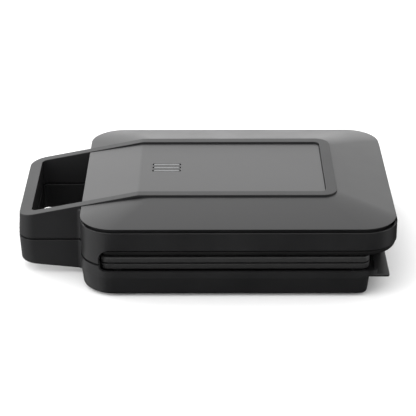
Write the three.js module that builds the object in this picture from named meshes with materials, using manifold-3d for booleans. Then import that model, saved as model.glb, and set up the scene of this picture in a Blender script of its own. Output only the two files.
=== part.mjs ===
// A two-shell electric waffle maker with a hinged lid and a split basket handle.
// Millimetres, +Z up, the handle points to -Y and the hinge lies at +Y. X = 0 is the mid plane.
import * as THREE from 'three';
import { mergeVertices } from 'three/addons/utils/BufferGeometryUtils.js';
import Module from 'manifold-3d';

const wasm = await Module();
wasm.setup();

// ---------------------------------------------------------------- driving sizes
const LID_LENGTH = 270;          // lid at its shoulder, front to rear
const LID_WIDTH = 218.4;         // lid at its shoulder, side to side
const CORNER_RADIUS = 30;        // plan radius of the four lid corners
const FOOT_PROUD = 2.5;          // how far the rubber feet stand below the housing
const PART_HEIGHT = 27.3;        // plate parting plane above the housing's underside
const RIM_HEIGHT = 21.8;         // top of the base's side walls
const LID_WALL_HEIGHT = 42.6;    // lower edge of the lid's side walls
const SHOULDER_HEIGHT = 61.6;    // edge of the lid cover
const HIP_RISE = 8.6;            // shoulder to the flat top of the cover
const SKIN = 2.4;                // wall of the moulded shells
const WALL_PROUD = 1;            // lid wall beyond the cover's edge at the sides
const WALL_PROUD_REAR = 1.2;
const WALL_BACK = 0.4;           // lid wall behind the cover's edge at the front
const SHELF_SIDE = 2.2;          // hinge shelf, in from the base's side
const DECK_SETBACK = 1.2;        // ledge of the lid's deck, in from the lid's wall
const GAP = 0.3;                 // space between pieces that touch
const SEAM = 0.4;                // visible seam between lid and base

const BAND_RISE = 2.2;           // handle band above the cover's flat top
const BAND_WIDTH = 8.7;
const BAND_HALF = 63;            // half width over the band
const BAND_CORNER = 13;          // plan radius at its two rear corners
const BAND_REAR = 48.5;          // band's rear edge, in from the lid's rear edge
const FOLD = 49;                 // where the band folds down, in from the lid's front edge
const FOLD_SLOPE = 0.2;          // fall of the band per millimetre forward
const PANEL_DEPTH = 1.6;         // top panel below the band's top
const PANEL_FRONT_RISE = 0.1;    // top panel above the cover's edge at the front
const PANEL_THICK = 1.8;

const HANDLE_REACH = 56.4;       // handle's front face ahead of the lid
const HANDLE_BAR = 12;           // handle's front bar, front to rear
const HANDLE_PART_HEIGHT = 30.5; // seam between the two handle halves
const HANDLE_DRAFT = 2.2;        // how far the front face leans back over its height
const HANDLE_CORNER = 14;
const HANDLE_ROUND = 6;          // lower front edge of the handle
const HANDLE_FILLET = 5;         // where the arms meet the body
const HANDLE_SKIN = 2.6;
const HANDLE_RISE_REAR = 1.6;    // underside of the lower handle at the body
const HANDLE_RISE_FRONT = 7.4;   // and at its front bar

const BASE_REAR = 22.7;          // base's rear wall, in from the lid's rear edge
const BASE_REAR_CORNER = 9;
const BASE_DRAFT = 1.6;
const SHELF_DEPTH = 16.7;        // hinge shelf behind the base's rear wall
const SHELF_TOP = 18.3;
const SHELF_THICK = 2.2;
const SLOT_FRONT = 16;           // side slot's front end, in from the lid's front edge
const SLOT_CORNER = 8;

const PLATE_SIDE = 6;            // plate edge, in from the lid's side
const PLATE_FRONT = 17.5;
const PLATE_REAR = 22.9;
const PLATE_CORNER = 7;
const PLATE_EDGE = 5.6;          // height of a plate's rim
const PLATE_MARGIN = 11;         // rim edge to the well casting
const WELL_DEPTH = 9;
const WELL_WALL = 3;
const WELL_RIDGE = 5;            // ridge between neighbouring wells
const PEGS = 4;                  // pegs along each side of a well
const PEG_GAP = 8;
const PEG_TAPER = 1.6;           // how far a peg's sides lean in
const PEG_SHORT = 2;             // peg tops below the plate's face
const WELL_CORNER = 6;
const WELL_LEAN = 2;             // how far a well's sides lean in
const PLATE_SEAM = 0.5;

const HEATER_D = 6.4;
const HEATER_STEPS = 40;
const HEATER_BEND = 16;
const HEATER_LOOP = 34;          // loop's ends, in from the casting and from the terminals
const HEATER_SPREAD = 0.62;      // loop's half width, as a share of the casting's
const TERMINAL_REACH = 16;       // heater's cold ends, in from the well casting's rear
const TERMINAL_SPACING = 36;
const REFLECTOR_THICK = 0.8;

const PIN_D = 5;
const PIN_HEAD = 1.6;            // thickness and overhang of the pin's head
const CLIP_WIDTH = 1.5;          // clip's radial width
const PIN_RUN = 0.08;            // radial running clearance of the hinge pin
const HINGE_SPACING = 100;
const LUG_THICK = 6;
const LUG_RADIUS = 5;
const LUG_ROOM = 0.5;            // side play between a lug and its bracket
const FLANGE_REACH = 8;          // bracket's foot, beside its upright
const FLANGE_THICK = 2;
const HINGE_OPEN = 100;          // lid travel in degrees

const SCREW_D = 3;
const SCREW_HEAD_D = 5.6;
const SCREW_HEAD_HEIGHT = 2.2;
const SCREW_ROOM = 0.35;         // radial room of a screw in its bore
const SPACER_RADIUS = 3.4;
const FOOT_D = 14;
const FOOT_INSET = 19;
const FOOT_NECK = 2.3;           // radius of a foot's neck, inside the bottom cover
const FOOT_BEAD = 3.2;           // radius of the bead that holds the foot
const VENT_COUNT = 5;
const VENT_PITCH = 12;
const VENT_WIDTH = 4;
const VENT_HALF = 26;            // half the length of a vent

// ---------------------------------------------------------------- worked-out places
const FRONT = -LID_LENGTH / 2;
const REAR = LID_LENGTH / 2;
const HALF = LID_WIDTH / 2;
const FLOOR = FOOT_PROUD;
const PART_Z = FLOOR + PART_HEIGHT;
const RIM_Z = FLOOR + RIM_HEIGHT;
const SHELF_Z = FLOOR + SHELF_TOP;
const LID_WALL_Z = FLOOR + LID_WALL_HEIGHT;
const DECK_Z = 2 * PART_Z - SHELF_Z;              // lid deck mirrors the base deck
const SHOULDER_Z = FLOOR + SHOULDER_HEIGHT;
const COVER_TOP_Z = SHOULDER_Z + HIP_RISE;
const BAND_Z = COVER_TOP_Z + BAND_RISE;
const PANEL_Z = BAND_Z - PANEL_DEPTH;
const PANEL_SLOPE = (PANEL_Z - SHOULDER_Z - PANEL_FRONT_RISE) / FOLD;
const HANDLE_Z = FLOOR + HANDLE_PART_HEIGHT;
const FOLD_Y = FRONT + FOLD;
const BAND_REAR_Y = REAR - BAND_REAR;
const HANDLE_Y = FRONT - HANDLE_REACH;
const HINGE_Y = REAR - BASE_REAR + SHELF_DEPTH - LUG_RADIUS;
const HINGE_Z = PART_Z;
const LIP = 0.9;                                  // visible edge of the cover
const GROOVE = 1.1;                               // shadow groove below that edge
const FAR = 400;                                  // longer than anything it cuts

// ---------------------------------------------------------------- solids
function solid(geometry) {
  const bare = geometry.clone();
  bare.deleteAttribute('normal');
  bare.deleteAttribute('uv');
  const merged = mergeVertices(bare, 1e-4);
  return new wasm.Manifold(new wasm.Mesh({
    numProp: 3,
    vertProperties: new Float32Array(merged.attributes.position.array),
    triVerts: new Uint32Array(merged.index.array),
  }));
}

const join = (first, ...rest) => rest.reduce((sum, next) => sum.add(next), first);
const cut = (first, ...rest) => rest.reduce((left, next) => left.subtract(next), first);

function box(x0, x1, y0, y1, z0, z1) {
  const geometry = new THREE.BoxGeometry(x1 - x0, y1 - y0, z1 - z0);
  return solid(geometry.translate((x0 + x1) / 2, (y0 + y1) / 2, (z0 + z1) / 2));
}

function discZ(radius, x, y, z0, z1, sides = 20) {
  const geometry = new THREE.CylinderGeometry(radius, radius, z1 - z0, sides);
  return solid(geometry.rotateX(Math.PI / 2).translate(x, y, (z0 + z1) / 2));
}

function discX(radius, x0, x1, y, z, sides = 24) {
  const geometry = new THREE.CylinderGeometry(radius, radius, x1 - x0, sides);
  return solid(geometry.rotateZ(Math.PI / 2).translate((x0 + x1) / 2, y, z));
}

// A rounded rectangle in plan: half width x, from y0 to y1, front and rear corner radii.
// steps is the number of facets in each corner.
function inset(rect, d) {
  const limit = Math.min(rect.x - d, (rect.y1 - rect.y0) / 2 - d) - 0.1;
  return {
    steps: rect.steps,
    x: rect.x - d,
    y0: rect.y0 + d,
    y1: rect.y1 - d,
    front: Math.min(Math.max(rect.front - d, 0.5), limit),
    rear: Math.min(Math.max(rect.rear - d, 0.5), limit),
  };
}

function outline(rect, z) {
  const steps = rect.steps ?? 6;
  const corners = [
    [rect.x - rect.front, rect.y0 + rect.front, rect.front],
    [rect.x - rect.rear, rect.y1 - rect.rear, rect.rear],
    [-rect.x + rect.rear, rect.y1 - rect.rear, rect.rear],
    [-rect.x + rect.front, rect.y0 + rect.front, rect.front],
  ];
  return corners.flatMap(([x, y, radius], corner) => {
    const arc = [];
    for (let step = 0; step <= steps; step += 1) {
      const angle = (Math.PI / 2) * (corner - 1 + step / steps);
      arc.push([x + radius * Math.cos(angle), y + radius * Math.sin(angle), z]);
    }
    return arc;
  });
}

// A closed solid through a stack of [rect, z] levels, lowest first.
function loft(levels) {
  const rings = levels.map(([rect, z]) => outline(rect, z));
  const count = rings[0].length;
  const faces = [];
  for (let level = 0; level < rings.length - 1; level += 1) {
    for (let i = 0; i < count; i += 1) {
      const a = level * count + i;
      const b = level * count + ((i + 1) % count);
      faces.push(a, b, b + count, a, b + count, a + count);
    }
  }
  const top = (rings.length - 1) * count;
  for (let i = 1; i < count - 1; i += 1) {
    faces.push(0, i + 1, i);
    faces.push(top, top + i, top + i + 1);
  }
  const geometry = new THREE.BufferGeometry();
  geometry.setAttribute('position', new THREE.Float32BufferAttribute(rings.flat(2), 3));
  geometry.setIndex(faces);
  return solid(geometry);
}

const prism = (rect, z0, z1) => loft([[rect, z0], [rect, z1]]);

const extruded = (shape, depth) => new THREE.ExtrudeGeometry(shape, {
  depth,
  bevelEnabled: false,
  curveSegments: 6,
});

// A side profile in (Y, Z), run across the whole part or from x0 to x1.
function across(shape, x0 = -FAR, x1 = FAR) {
  const geometry = extruded(shape, x1 - x0);
  const turn = new THREE.Matrix4().makeBasis(
    new THREE.Vector3(0, 1, 0),
    new THREE.Vector3(0, 0, 1),
    new THREE.Vector3(1, 0, 0),
  );
  return solid(geometry.applyMatrix4(turn).translate(x0, 0, 0));
}

const polygon = (points) => new THREE.Shape(points.map(([y, z]) => new THREE.Vector2(y, z)));

// Everything below a surface that is level behind the fold and falls away ahead of it.
function underFold(z, slope) {
  return across(polygon([
    [FOLD_Y - FAR, -FAR],
    [FAR, -FAR],
    [FAR, z],
    [FOLD_Y, z],
    [FOLD_Y - FAR, z - FAR * slope],
  ]));
}

const underBand = (depth) => underFold(BAND_Z - depth, FOLD_SLOPE);
const underPanel = (depth) => underFold(PANEL_Z - depth, PANEL_SLOPE);

// The opening along both sides and the rear, shrunk by a clearance.
function slotBelow(top, clear) {
  const y = FRONT + SLOT_FRONT + clear;
  const z = top - clear;
  const shape = new THREE.Shape();
  shape.moveTo(y, -FAR);
  shape.lineTo(FAR, -FAR);
  shape.lineTo(FAR, z);
  shape.lineTo(y + SLOT_CORNER, z);
  shape.absarc(y + SLOT_CORNER, z - SLOT_CORNER, SLOT_CORNER, Math.PI / 2, Math.PI, false);
  shape.lineTo(y, -FAR);
  return across(shape);
}

function slotAbove(bottom) {
  const y = FRONT + SLOT_FRONT;
  const corner = Math.min(SLOT_CORNER, PART_Z - bottom - 0.1);
  const shape = new THREE.Shape();
  shape.moveTo(y, FAR);
  shape.lineTo(y, bottom + corner);
  shape.absarc(y + corner, bottom + corner, corner, Math.PI, 1.5 * Math.PI, false);
  shape.lineTo(FAR, bottom);
  shape.lineTo(FAR, FAR);
  shape.lineTo(y, FAR);
  return across(shape);
}

// A round tube along straight runs with rounded bends.
function tube(points, diameter, bend, steps) {
  const route = new THREE.CurvePath();
  const spots = points.map(([x, y, z]) => new THREE.Vector3(x, y, z));
  let start = spots[0];
  for (let i = 1; i < spots.length - 1; i += 1) {
    const back = spots[i - 1].clone().sub(spots[i]);
    const ahead = spots[i + 1].clone().sub(spots[i]);
    const reach = Math.min(bend, back.length() / 2.2, ahead.length() / 2.2);
    const enter = spots[i].clone().addScaledVector(back.normalize(), reach);
    const leave = spots[i].clone().addScaledVector(ahead.normalize(), reach);
    route.add(new THREE.LineCurve3(start, enter));
    route.add(new THREE.QuadraticBezierCurve3(enter, spots[i], leave));
    start = leave;
  }
  route.add(new THREE.LineCurve3(start, spots[spots.length - 1]));
  const section = new THREE.Shape();
  section.absarc(0, 0, diameter / 2, 0, 2 * Math.PI, false);
  return solid(new THREE.ExtrudeGeometry(section, {
    steps,
    extrudePath: route,
    curveSegments: 4,
    bevelEnabled: false,
  }));
}

// ---------------------------------------------------------------- materials
const paint = (color, roughness, metalness = 0) => new THREE.MeshStandardMaterial({
  color,
  roughness,
  metalness,
});
const FINISH = {
  shell: () => paint('#232324', 0.42),
  panel: () => paint('#29292a', 0.38),
  handle: () => paint('#212122', 0.45),
  coating: () => paint('#2b2b2c', 0.55),
  steel: () => paint('#b8b8b6', 0.35, 1),
  element: () => paint('#6e6a64', 0.5, 1),
  rubber: () => paint('#1b1b1b', 0.85),
  brass: () => paint('#b08d4a', 0.4, 1),
  ceramic: () => paint('#e4ded2', 0.6),
  lens: () => paint('#8c8f92', 0.2),
  lamp: () => paint('#d9d6cf', 0.3),
};

const assembly = new THREE.Group();

function place(name, shape, finish, group = assembly) {
  const mesh = shape.getMesh();
  const geometry = new THREE.BufferGeometry();
  geometry.setAttribute('position', new THREE.Float32BufferAttribute(mesh.vertProperties, 3));
  geometry.setIndex(Array.from(mesh.triVerts));
  const item = new THREE.Mesh(geometry, FINISH[finish]());
  item.name = name;
  group.add(item);
  return item;
}

// ---------------------------------------------------------------- plan outlines
const coverRect = { x: HALF, y0: FRONT, y1: REAR, front: CORNER_RADIUS, rear: CORNER_RADIUS };
const coverTopRect = { x: BAND_HALF, y0: FOLD_Y, y1: BAND_REAR_Y, front: BAND_CORNER, rear: BAND_CORNER };
const lidWallRect = {
  ...coverRect,
  x: HALF + WALL_PROUD,
  y0: FRONT + WALL_BACK,
  y1: REAR + WALL_PROUD_REAR,
};
const skirtRect = inset(lidWallRect, SKIN + GAP);
const baseRect = { ...coverRect, y0: FRONT - 0.3, y1: REAR - BASE_REAR, rear: BASE_REAR_CORNER };
const shelfRect = {
  x: HALF - SHELF_SIDE,
  y0: REAR - BASE_REAR - 20,
  y1: REAR - BASE_REAR + SHELF_DEPTH,
  front: 1,
  rear: 2,
};
const plateRect = {
  x: HALF - PLATE_SIDE,
  y0: FRONT + PLATE_FRONT,
  y1: REAR - PLATE_REAR,
  front: PLATE_CORNER,
  rear: PLATE_CORNER,
};
const castingRect = inset(plateRect, PLATE_MARGIN);
const TROUGH_REAR_Y = plateRect.y1 + 4.6;
const KERB_REAR_Y = TROUGH_REAR_Y + SKIN - 0.2;
const deckOpening = inset(plateRect, PLATE_MARGIN - 1.5);

function bandRects(z) {
  const drop = (z - HANDLE_Z) / (BAND_Z - HANDLE_Z);
  return {
    x: BAND_HALF + 0.6 - 0.8 * drop,
    y0: HANDLE_Y + HANDLE_DRAFT * Math.abs(drop),
    y1: BAND_REAR_Y,
    front: HANDLE_CORNER,
    rear: BAND_CORNER,
  };
}

const holeRect = {
  x: BAND_HALF - BAND_WIDTH,
  y0: HANDLE_Y + HANDLE_BAR,
  y1: BAND_REAR_Y - BAND_WIDTH - 0.8,
  front: 5,
  rear: 5,
};

// Concave fillets on both sides where a handle half meets the body.
function bodyFillets(z0, z1) {
  const wallY = FRONT + 8;
  const frontY = FRONT + WALL_BACK;
  return [1, -1].map((side) => {
    const shape = new THREE.Shape();
    const x = side * (BAND_HALF - 2);
    const edge = side * (BAND_HALF + 0.2);
    const tip = side * (BAND_HALF + 0.2 + HANDLE_FILLET);
    shape.moveTo(x, wallY);
    shape.lineTo(x, frontY - HANDLE_FILLET);
    shape.lineTo(edge, frontY - HANDLE_FILLET);
    shape.quadraticCurveTo(edge, frontY, tip, frontY);
    shape.lineTo(tip, wallY);
    shape.lineTo(x, wallY);
    return solid(extruded(shape, z1 - z0).translate(0, 0, z0));
  });
}

// ---------------------------------------------------------------- lid shells
const lid = new THREE.Group();
const base = new THREE.Group();
assembly.add(base, lid);

const panelRect = {
  x: holeRect.x - GAP,
  y0: FRONT + 0.2,
  y1: holeRect.y1 - GAP,
  front: 1,
  rear: holeRect.rear - GAP,
};
const LAMP_Y = FOLD_Y + 23.5;
const LAMP_LENGTH = 25;
const LAMP_WIDTH = 3.6;
const LAMP_PITCH = 6.7;
const LAMP_COUNT = 3;
const LENS_THICK = 2.2;
const LENS_Z = PANEL_Z - PANEL_THICK - GAP - LENS_THICK;
const windowRect = {
  x: LAMP_PITCH * (LAMP_COUNT / 2) + 2,
  y0: LAMP_Y - LAMP_LENGTH / 2 - 3.5,
  y1: LAMP_Y + LAMP_LENGTH / 2 + 3.5,
};
const lampRows = Array.from({ length: LAMP_COUNT }, (_, row) => (row - (LAMP_COUNT - 1) / 2) * LAMP_PITCH);

function lampBar(x, clear, z0, z1) {
  const rect = {
    x: LAMP_WIDTH / 2 - clear,
    y0: LAMP_Y - LAMP_LENGTH / 2 + clear,
    y1: LAMP_Y + LAMP_LENGTH / 2 - clear,
    front: 1.2,
    rear: 1.2,
    steps: 3,
  };
  return prism(rect, z0, z1).translate([x, 0, 0]);
}

function coverOutside(lift = 0, spread = 0) {
  return loft([
    [inset(coverRect, -spread), SHOULDER_Z - LIP],
    [inset(coverRect, -spread), SHOULDER_Z - 0.3 + lift],
    [inset(coverRect, 0.5 - spread), SHOULDER_Z + lift],
    [inset(coverTopRect, -spread), COVER_TOP_Z + lift],
  ]);
}

function makeLidCover() {
  const skirt = prism(skirtRect, SHOULDER_Z - LIP - 7, SHOULDER_Z - LIP + 0.1);
  const hollow = loft([
    [inset(skirtRect, SKIN), SHOULDER_Z - LIP - 8],
    [inset(skirtRect, SKIN), SHOULDER_Z - SKIN],
    [inset(coverTopRect, 1.5), COVER_TOP_Z - SKIN],
  ]);
  const pocketPlan = prism({ ...inset(panelRect, -GAP), y0: FRONT - 5 }, 0, FAR);
  const pocket = cut(pocketPlan, underPanel(PANEL_THICK + GAP));
  const roofUnderPocket = cut(prism(inset(panelRect, -2), 0, FAR), underPanel(PANEL_THICK + GAP + SKIN));
  const shell = cut(join(coverOutside(), skirt), cut(hollow, roofUnderPocket), pocket);
  return cut(shell, prism({ ...windowRect, front: 2, rear: 2 }, 0, FAR));
}

function makeTopPanel() {
  const slab = prism(panelRect, 0, FAR).intersect(underPanel(0));
  const sheet = cut(slab, underPanel(PANEL_THICK));
  return cut(sheet, ...lampRows.map((x) => lampBar(x, 0, 0, FAR)));
}

function makeLampLens() {
  const seatTop = PANEL_Z - PANEL_THICK - GAP;
  const seat = prism(inset({ ...windowRect, front: 2, rear: 2 }, 2 * GAP), seatTop - LENS_THICK, seatTop);
  return join(seat, ...lampRows.map((x) => lampBar(x, GAP, seatTop - 0.5, PANEL_Z - 0.7)));
}

function makeLidWall() {
  const top = SHOULDER_Z - LIP - GROOVE;
  const outside = loft([
    [lidWallRect, PART_Z + SEAM / 2],
    [lidWallRect, top - 0.4],
    [inset(lidWallRect, 0.4), top],
  ]);
  const inside = prism(inset(lidWallRect, SKIN), PART_Z - 1, top + 1);
  return cut(outside, inside, slotBelow(LID_WALL_Z, 0));
}

// Behind the plates the lid's floor lies higher, over the hinge shelf.
const LID_FLOOR_Z = LID_WALL_Z - 1.2;

function makeLidDeck() {
  const edge = inset(lidWallRect, DECK_SETBACK);
  const block = loft([
    [inset(edge, 1.8), DECK_Z],
    [inset(edge, 0.5), DECK_Z + 0.7],
    [edge, DECK_Z + 2],
    [edge, LID_WALL_Z + 4.5],
  ]);
  const core = inset(lidWallRect, SKIN + GAP);
  const fitted = block.intersect(join(prism(core, 0, FAR), slotBelow(LID_WALL_Z, GAP)));
  const bowlRect = inset(core, SKIN);
  const bowl = prism({ ...bowlRect, y1: KERB_REAR_Y - 2 * SKIN, rear: 1 }, DECK_Z + SKIN, FAR);
  const rearBowl = prism(bowlRect, LID_FLOOR_Z + SKIN, FAR);
  const rearSpace = box(-FAR, FAR, KERB_REAR_Y, FAR, 0, LID_FLOOR_Z);
  return cut(fitted, bowl, rearBowl, rearSpace, prism(deckOpening, 0, FAR));
}

// ---------------------------------------------------------------- handle halves
function makeUpperHandle() {
  const top = BAND_Z + 8;
  const outside = loft([[bandRects(HANDLE_Z + SEAM / 2), HANDLE_Z + SEAM / 2], [bandRects(top), top]]);
  const fillets = bodyFillets(HANDLE_Z + SEAM / 2, SHOULDER_Z - LIP - GROOVE);
  const loop = cut(join(outside, ...fillets), prism(holeRect, 0, FAR));
  const lidSpace = join(prism(inset(lidWallRect, -GAP), 0, SHOULDER_Z - LIP + 0.1), coverOutside(GAP, GAP));
  const channelOutside = loft([
    [inset(bandRects(HANDLE_Z - 1), HANDLE_SKIN), HANDLE_Z - 1],
    [inset(bandRects(top), HANDLE_SKIN), top],
  ]);
  const ahead = box(-FAR, FAR, -FAR, FRONT - 3, -FAR, FAR);
  const channel = cut(channelOutside, prism(inset(holeRect, -HANDLE_SKIN), 0, FAR)).intersect(ahead);
  const shell = cut(loop.intersect(underBand(0)), lidSpace);
  return cut(shell, channel.intersect(underBand(HANDLE_SKIN)));
}

// The lower handle's underside rises from the body to the front bar and rounds up to its face.
function aboveUnderside(lift) {
  const rearZ = FLOOR + HANDLE_RISE_REAR + lift;
  const frontZ = FLOOR + HANDLE_RISE_FRONT + lift;
  const faceY = HANDLE_Y + HANDLE_DRAFT * 0.6;
  const shape = new THREE.Shape();
  shape.moveTo(FAR, FAR);
  shape.lineTo(-FAR, FAR);
  shape.lineTo(-FAR, frontZ + HANDLE_ROUND);
  shape.lineTo(faceY, frontZ + HANDLE_ROUND);
  shape.quadraticCurveTo(faceY, frontZ, faceY + HANDLE_ROUND, frontZ);
  shape.lineTo(FRONT, rearZ);
  shape.lineTo(FAR, rearZ);
  shape.lineTo(FAR, FAR);
  return across(shape);
}

function makeLowerHandle() {
  const top = HANDLE_Z - SEAM / 2;
  const outside = loft([[bandRects(FLOOR), FLOOR], [bandRects(top), top]]);
  const loop = cut(join(outside, ...bodyFillets(FLOOR, top)), prism(holeRect, 0, FAR));
  const bodySpace = prism(inset(baseRect, -GAP), 0, FAR);
  const channelOutside = loft([
    [inset(bandRects(FLOOR), HANDLE_SKIN), FLOOR],
    [inset(bandRects(top + 1), HANDLE_SKIN), top + 1],
  ]);
  const ahead = box(-FAR, FAR, -FAR, FRONT - 3, -FAR, FAR);
  const channel = cut(channelOutside, prism(inset(holeRect, -HANDLE_SKIN), 0, FAR)).intersect(ahead);
  const behind = box(-FAR, FAR, FRONT + 20, FAR, -FAR, FAR);
  const shell = cut(loop.intersect(aboveUnderside(0)), bodySpace, behind);
  return cut(shell, channel.intersect(aboveUnderside(HANDLE_SKIN)));
}

// ---------------------------------------------------------------- base shells
const BOTTOM_THICK = 2;
const BOTTOM_Z = FLOOR + 0.2;

function makeBaseHousing() {
  const foot = inset(baseRect, BASE_DRAFT);
  const walls = loft([
    [inset(foot, 1.4), FLOOR],
    [inset(foot, 0.4), FLOOR + 0.6],
    [foot, FLOOR + 1.8],
    [baseRect, SHELF_Z - 1],
    [baseRect, PART_Z - SEAM / 2],
  ]);
  const cheeks = cut(walls, slotAbove(RIM_Z));
  const shelf = prism(shelfRect, SHELF_Z - SHELF_THICK, SHELF_Z);
  const trough = { ...plateRect, x: HALF - SKIN, y0: plateRect.y0 - 3, y1: TROUGH_REAR_Y, front: 9 };
  const kerbRect = { ...trough, x: HALF - 0.3, y0: 0, y1: KERB_REAR_Y, front: 1, rear: BASE_REAR_CORNER };
  const kerb = prism(kerbRect, SHELF_Z - SHELF_THICK, RIM_Z);
  const gutterRect = { ...trough, x: HALF - 14, y0: 0, y1: TROUGH_REAR_Y + 1.6, front: 1 };
  const gutter = prism(gutterRect, SHELF_Z - 6.5, SHELF_Z);
  const body = join(cheeks, shelf, kerb, gutter);
  const lower = inset(inset(baseRect, SKIN), BASE_DRAFT);
  const well = prism(lower, FLOOR - 1, SHELF_Z - SHELF_THICK);
  const above = prism(trough, SHELF_Z, FAR);
  const drain = prism({ ...inset(gutterRect, 1.6), y0: 5 }, SHELF_Z - 4.9, SHELF_Z + 1);
  const frontDeck = cut(prism(inset(baseRect, SKIN), SHELF_Z, FAR), slotBelow(FAR, -4));
  return cut(body, well, above, drain, frontDeck, prism(deckOpening, 0, FAR));
}

const coverPlan = inset(inset(inset(baseRect, SKIN), BASE_DRAFT), GAP);
const cornerSpots = (rect, dx, dy) => [
  [rect.x - dx, rect.y0 + dy],
  [-rect.x + dx, rect.y0 + dy],
  [rect.x - dx, rect.y1 - dy],
  [-rect.x + dx, rect.y1 - dy],
];
const footSpots = cornerSpots(coverPlan, FOOT_INSET, FOOT_INSET);

function makeBottomCover() {
  const sheet = prism(coverPlan, BOTTOM_Z, BOTTOM_Z + BOTTOM_THICK);
  const round = VENT_WIDTH / 2 - 0.1;
  const slot = {
    x: VENT_HALF,
    y0: -VENT_WIDTH / 2,
    y1: VENT_WIDTH / 2,
    front: round,
    rear: round,
    steps: 3,
  };
  const vents = Array.from({ length: VENT_COUNT }, (_, row) => (
    prism(slot, 0, FAR).translate([0, (row - (VENT_COUNT - 1) / 2) * VENT_PITCH, 0])
  ));
  const sockets = footSpots.map(([x, y]) => discZ(FOOT_NECK + GAP, x, y, 0, FAR, 10));
  return cut(sheet, ...vents, ...sockets);
}

function makeFoot([x, y]) {
  const inside = BOTTOM_Z + BOTTOM_THICK + GAP;
  const pad = discZ(FOOT_D / 2, x, y, 0, BOTTOM_Z - GAP, 16);
  const neck = discZ(FOOT_NECK, x, y, BOTTOM_Z - 0.7, inside + 0.2, 10);
  const bead = discZ(FOOT_BEAD, x, y, inside, inside + 1.4, 10);
  return join(pad, neck, bead);
}

// ---------------------------------------------------------------- cooking plates
// Built as the lower plate, with its face at the parting plane. The upper one is its mirror.
const CASTING_Z = PART_Z - WELL_DEPTH - WELL_WALL;
const BOSS_SIDE = 5;
const BOSS_END = 14;
const bossSpots = cornerSpots(plateRect, BOSS_SIDE, BOSS_END);

function wellRects() {
  const field = inset(castingRect, WELL_WALL);
  const halfX = (field.x - WELL_RIDGE / 2) / 2;
  const midY = (field.y0 + field.y1) / 2;
  const halfY = ((field.y1 - field.y0) - WELL_RIDGE) / 4;
  return [1, -1].flatMap((sideX) => [1, -1].map((sideY) => ({
    x: sideX * (WELL_RIDGE / 2 + halfX),
    y: midY + sideY * (WELL_RIDGE / 2 + halfY),
    halfX,
    halfY,
  })));
}

function makeWell({ x, y, halfX, halfY }, top) {
  const mouth = { x: halfX, y0: -halfY, y1: halfY, front: WELL_CORNER, rear: WELL_CORNER, steps: 3 };
  const hollow = loft([[inset(mouth, WELL_LEAN), top - WELL_DEPTH], [mouth, top], [mouth, top + 2]]);
  const pitchX = (2 * halfX - PEG_GAP) / PEGS;
  const pitchY = (2 * halfY - PEG_GAP) / PEGS;
  const pegs = [];
  for (let column = 0; column < PEGS; column += 1) {
    for (let row = 0; row < PEGS; row += 1) {
      const foot = {
        x: (pitchX - PEG_GAP) / 2 + 1,
        y0: -(pitchY - PEG_GAP) / 2 - 1,
        y1: (pitchY - PEG_GAP) / 2 + 1,
      };
      const pegX = (column - (PEGS - 1) / 2) * pitchX;
      const pegY = (row - (PEGS - 1) / 2) * pitchY;
      const peg = frustum(foot, PEG_TAPER, top - WELL_DEPTH - 1, top - PEG_SHORT);
      pegs.push(peg.translate([pegX, pegY, 0]));
    }
  }
  return cut(hollow, ...pegs).translate([x, y, 0]);
}

// A square peg that narrows upward.
function frustum(foot, taper, z0, z1) {
  const geometry = new THREE.BoxGeometry(2 * foot.x, foot.y1 - foot.y0, z1 - z0);
  const corners = geometry.attributes.position;
  for (let i = 0; i < corners.count; i += 1) {
    if (corners.getZ(i) > 0) {
      corners.setX(i, corners.getX(i) - Math.sign(corners.getX(i)) * taper);
      corners.setY(i, corners.getY(i) - Math.sign(corners.getY(i)) * taper);
    }
  }
  return solid(geometry.translate(0, 0, (z0 + z1) / 2));
}

function makePlate() {
  const top = PART_Z - PLATE_SEAM / 2;
  const casting = loft([
    [inset(castingRect, 2), CASTING_Z],
    [castingRect, CASTING_Z + 3],
    [castingRect, top - 1],
  ]);
  const rim = loft([
    [inset(plateRect, 1.6), top - PLATE_EDGE],
    [inset(plateRect, 0.6), top - PLATE_EDGE + 0.8],
    [plateRect, top - 0.6],
    [inset(plateRect, 0.4), top],
  ]);
  const bores = bossSpots.map(([x, y]) => discZ(SCREW_D / 2 + SCREW_ROOM, x, y, 0, top - 1.4, 12));
  return cut(join(casting, rim), ...wellRects().map((spot) => makeWell(spot, top)), ...bores);
}

const mirrored = (shape) => shape.mirror([0, 0, 1]).translate([0, 0, 2 * PART_Z]);

// Spacers carry a plate on its deck, and a screw goes through each from behind the deck.
const SPACER_Z0 = SHELF_Z + GAP;
const SPACER_Z1 = PART_Z - PLATE_SEAM / 2 - PLATE_EDGE - GAP;

function makeSpacer([x, y]) {
  const bore = discZ(SCREW_D / 2 + SCREW_ROOM, x, y, 0, FAR, 12);
  return cut(discZ(SPACER_RADIUS, x, y, SPACER_Z0, SPACER_Z1, 12), bore);
}

function makePlateScrew([x, y]) {
  const seat = SHELF_Z - SHELF_THICK - GAP;
  const shank = discZ(SCREW_D / 2, x, y, seat - 1, PART_Z - PLATE_SEAM / 2 - 2.2, 10);
  const head = discZ(SCREW_HEAD_D / 2, x, y, seat - SCREW_HEAD_HEIGHT, seat, 12);
  return join(shank, head);
}

const screwBores = bossSpots.map(([x, y]) => discZ(SCREW_D / 2 + SCREW_ROOM, x, y, 0, 2 * PART_Z, 12));

function makeHeater() {
  const z = CASTING_Z - GAP - HEATER_D / 2;
  const rear = castingRect.y1 - TERMINAL_REACH;
  const side = castingRect.x * HEATER_SPREAD;
  const front = castingRect.y0 + HEATER_LOOP;
  const turn = rear - HEATER_LOOP;
  const end = TERMINAL_SPACING / 2;
  return tube([
    [end, rear, z],
    [end, turn, z],
    [side, turn, z],
    [side, front, z],
    [-side, front, z],
    [-side, turn, z],
    [-end, turn, z],
    [-end, rear, z],
  ], HEATER_D, HEATER_BEND, HEATER_STEPS);
}

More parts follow.
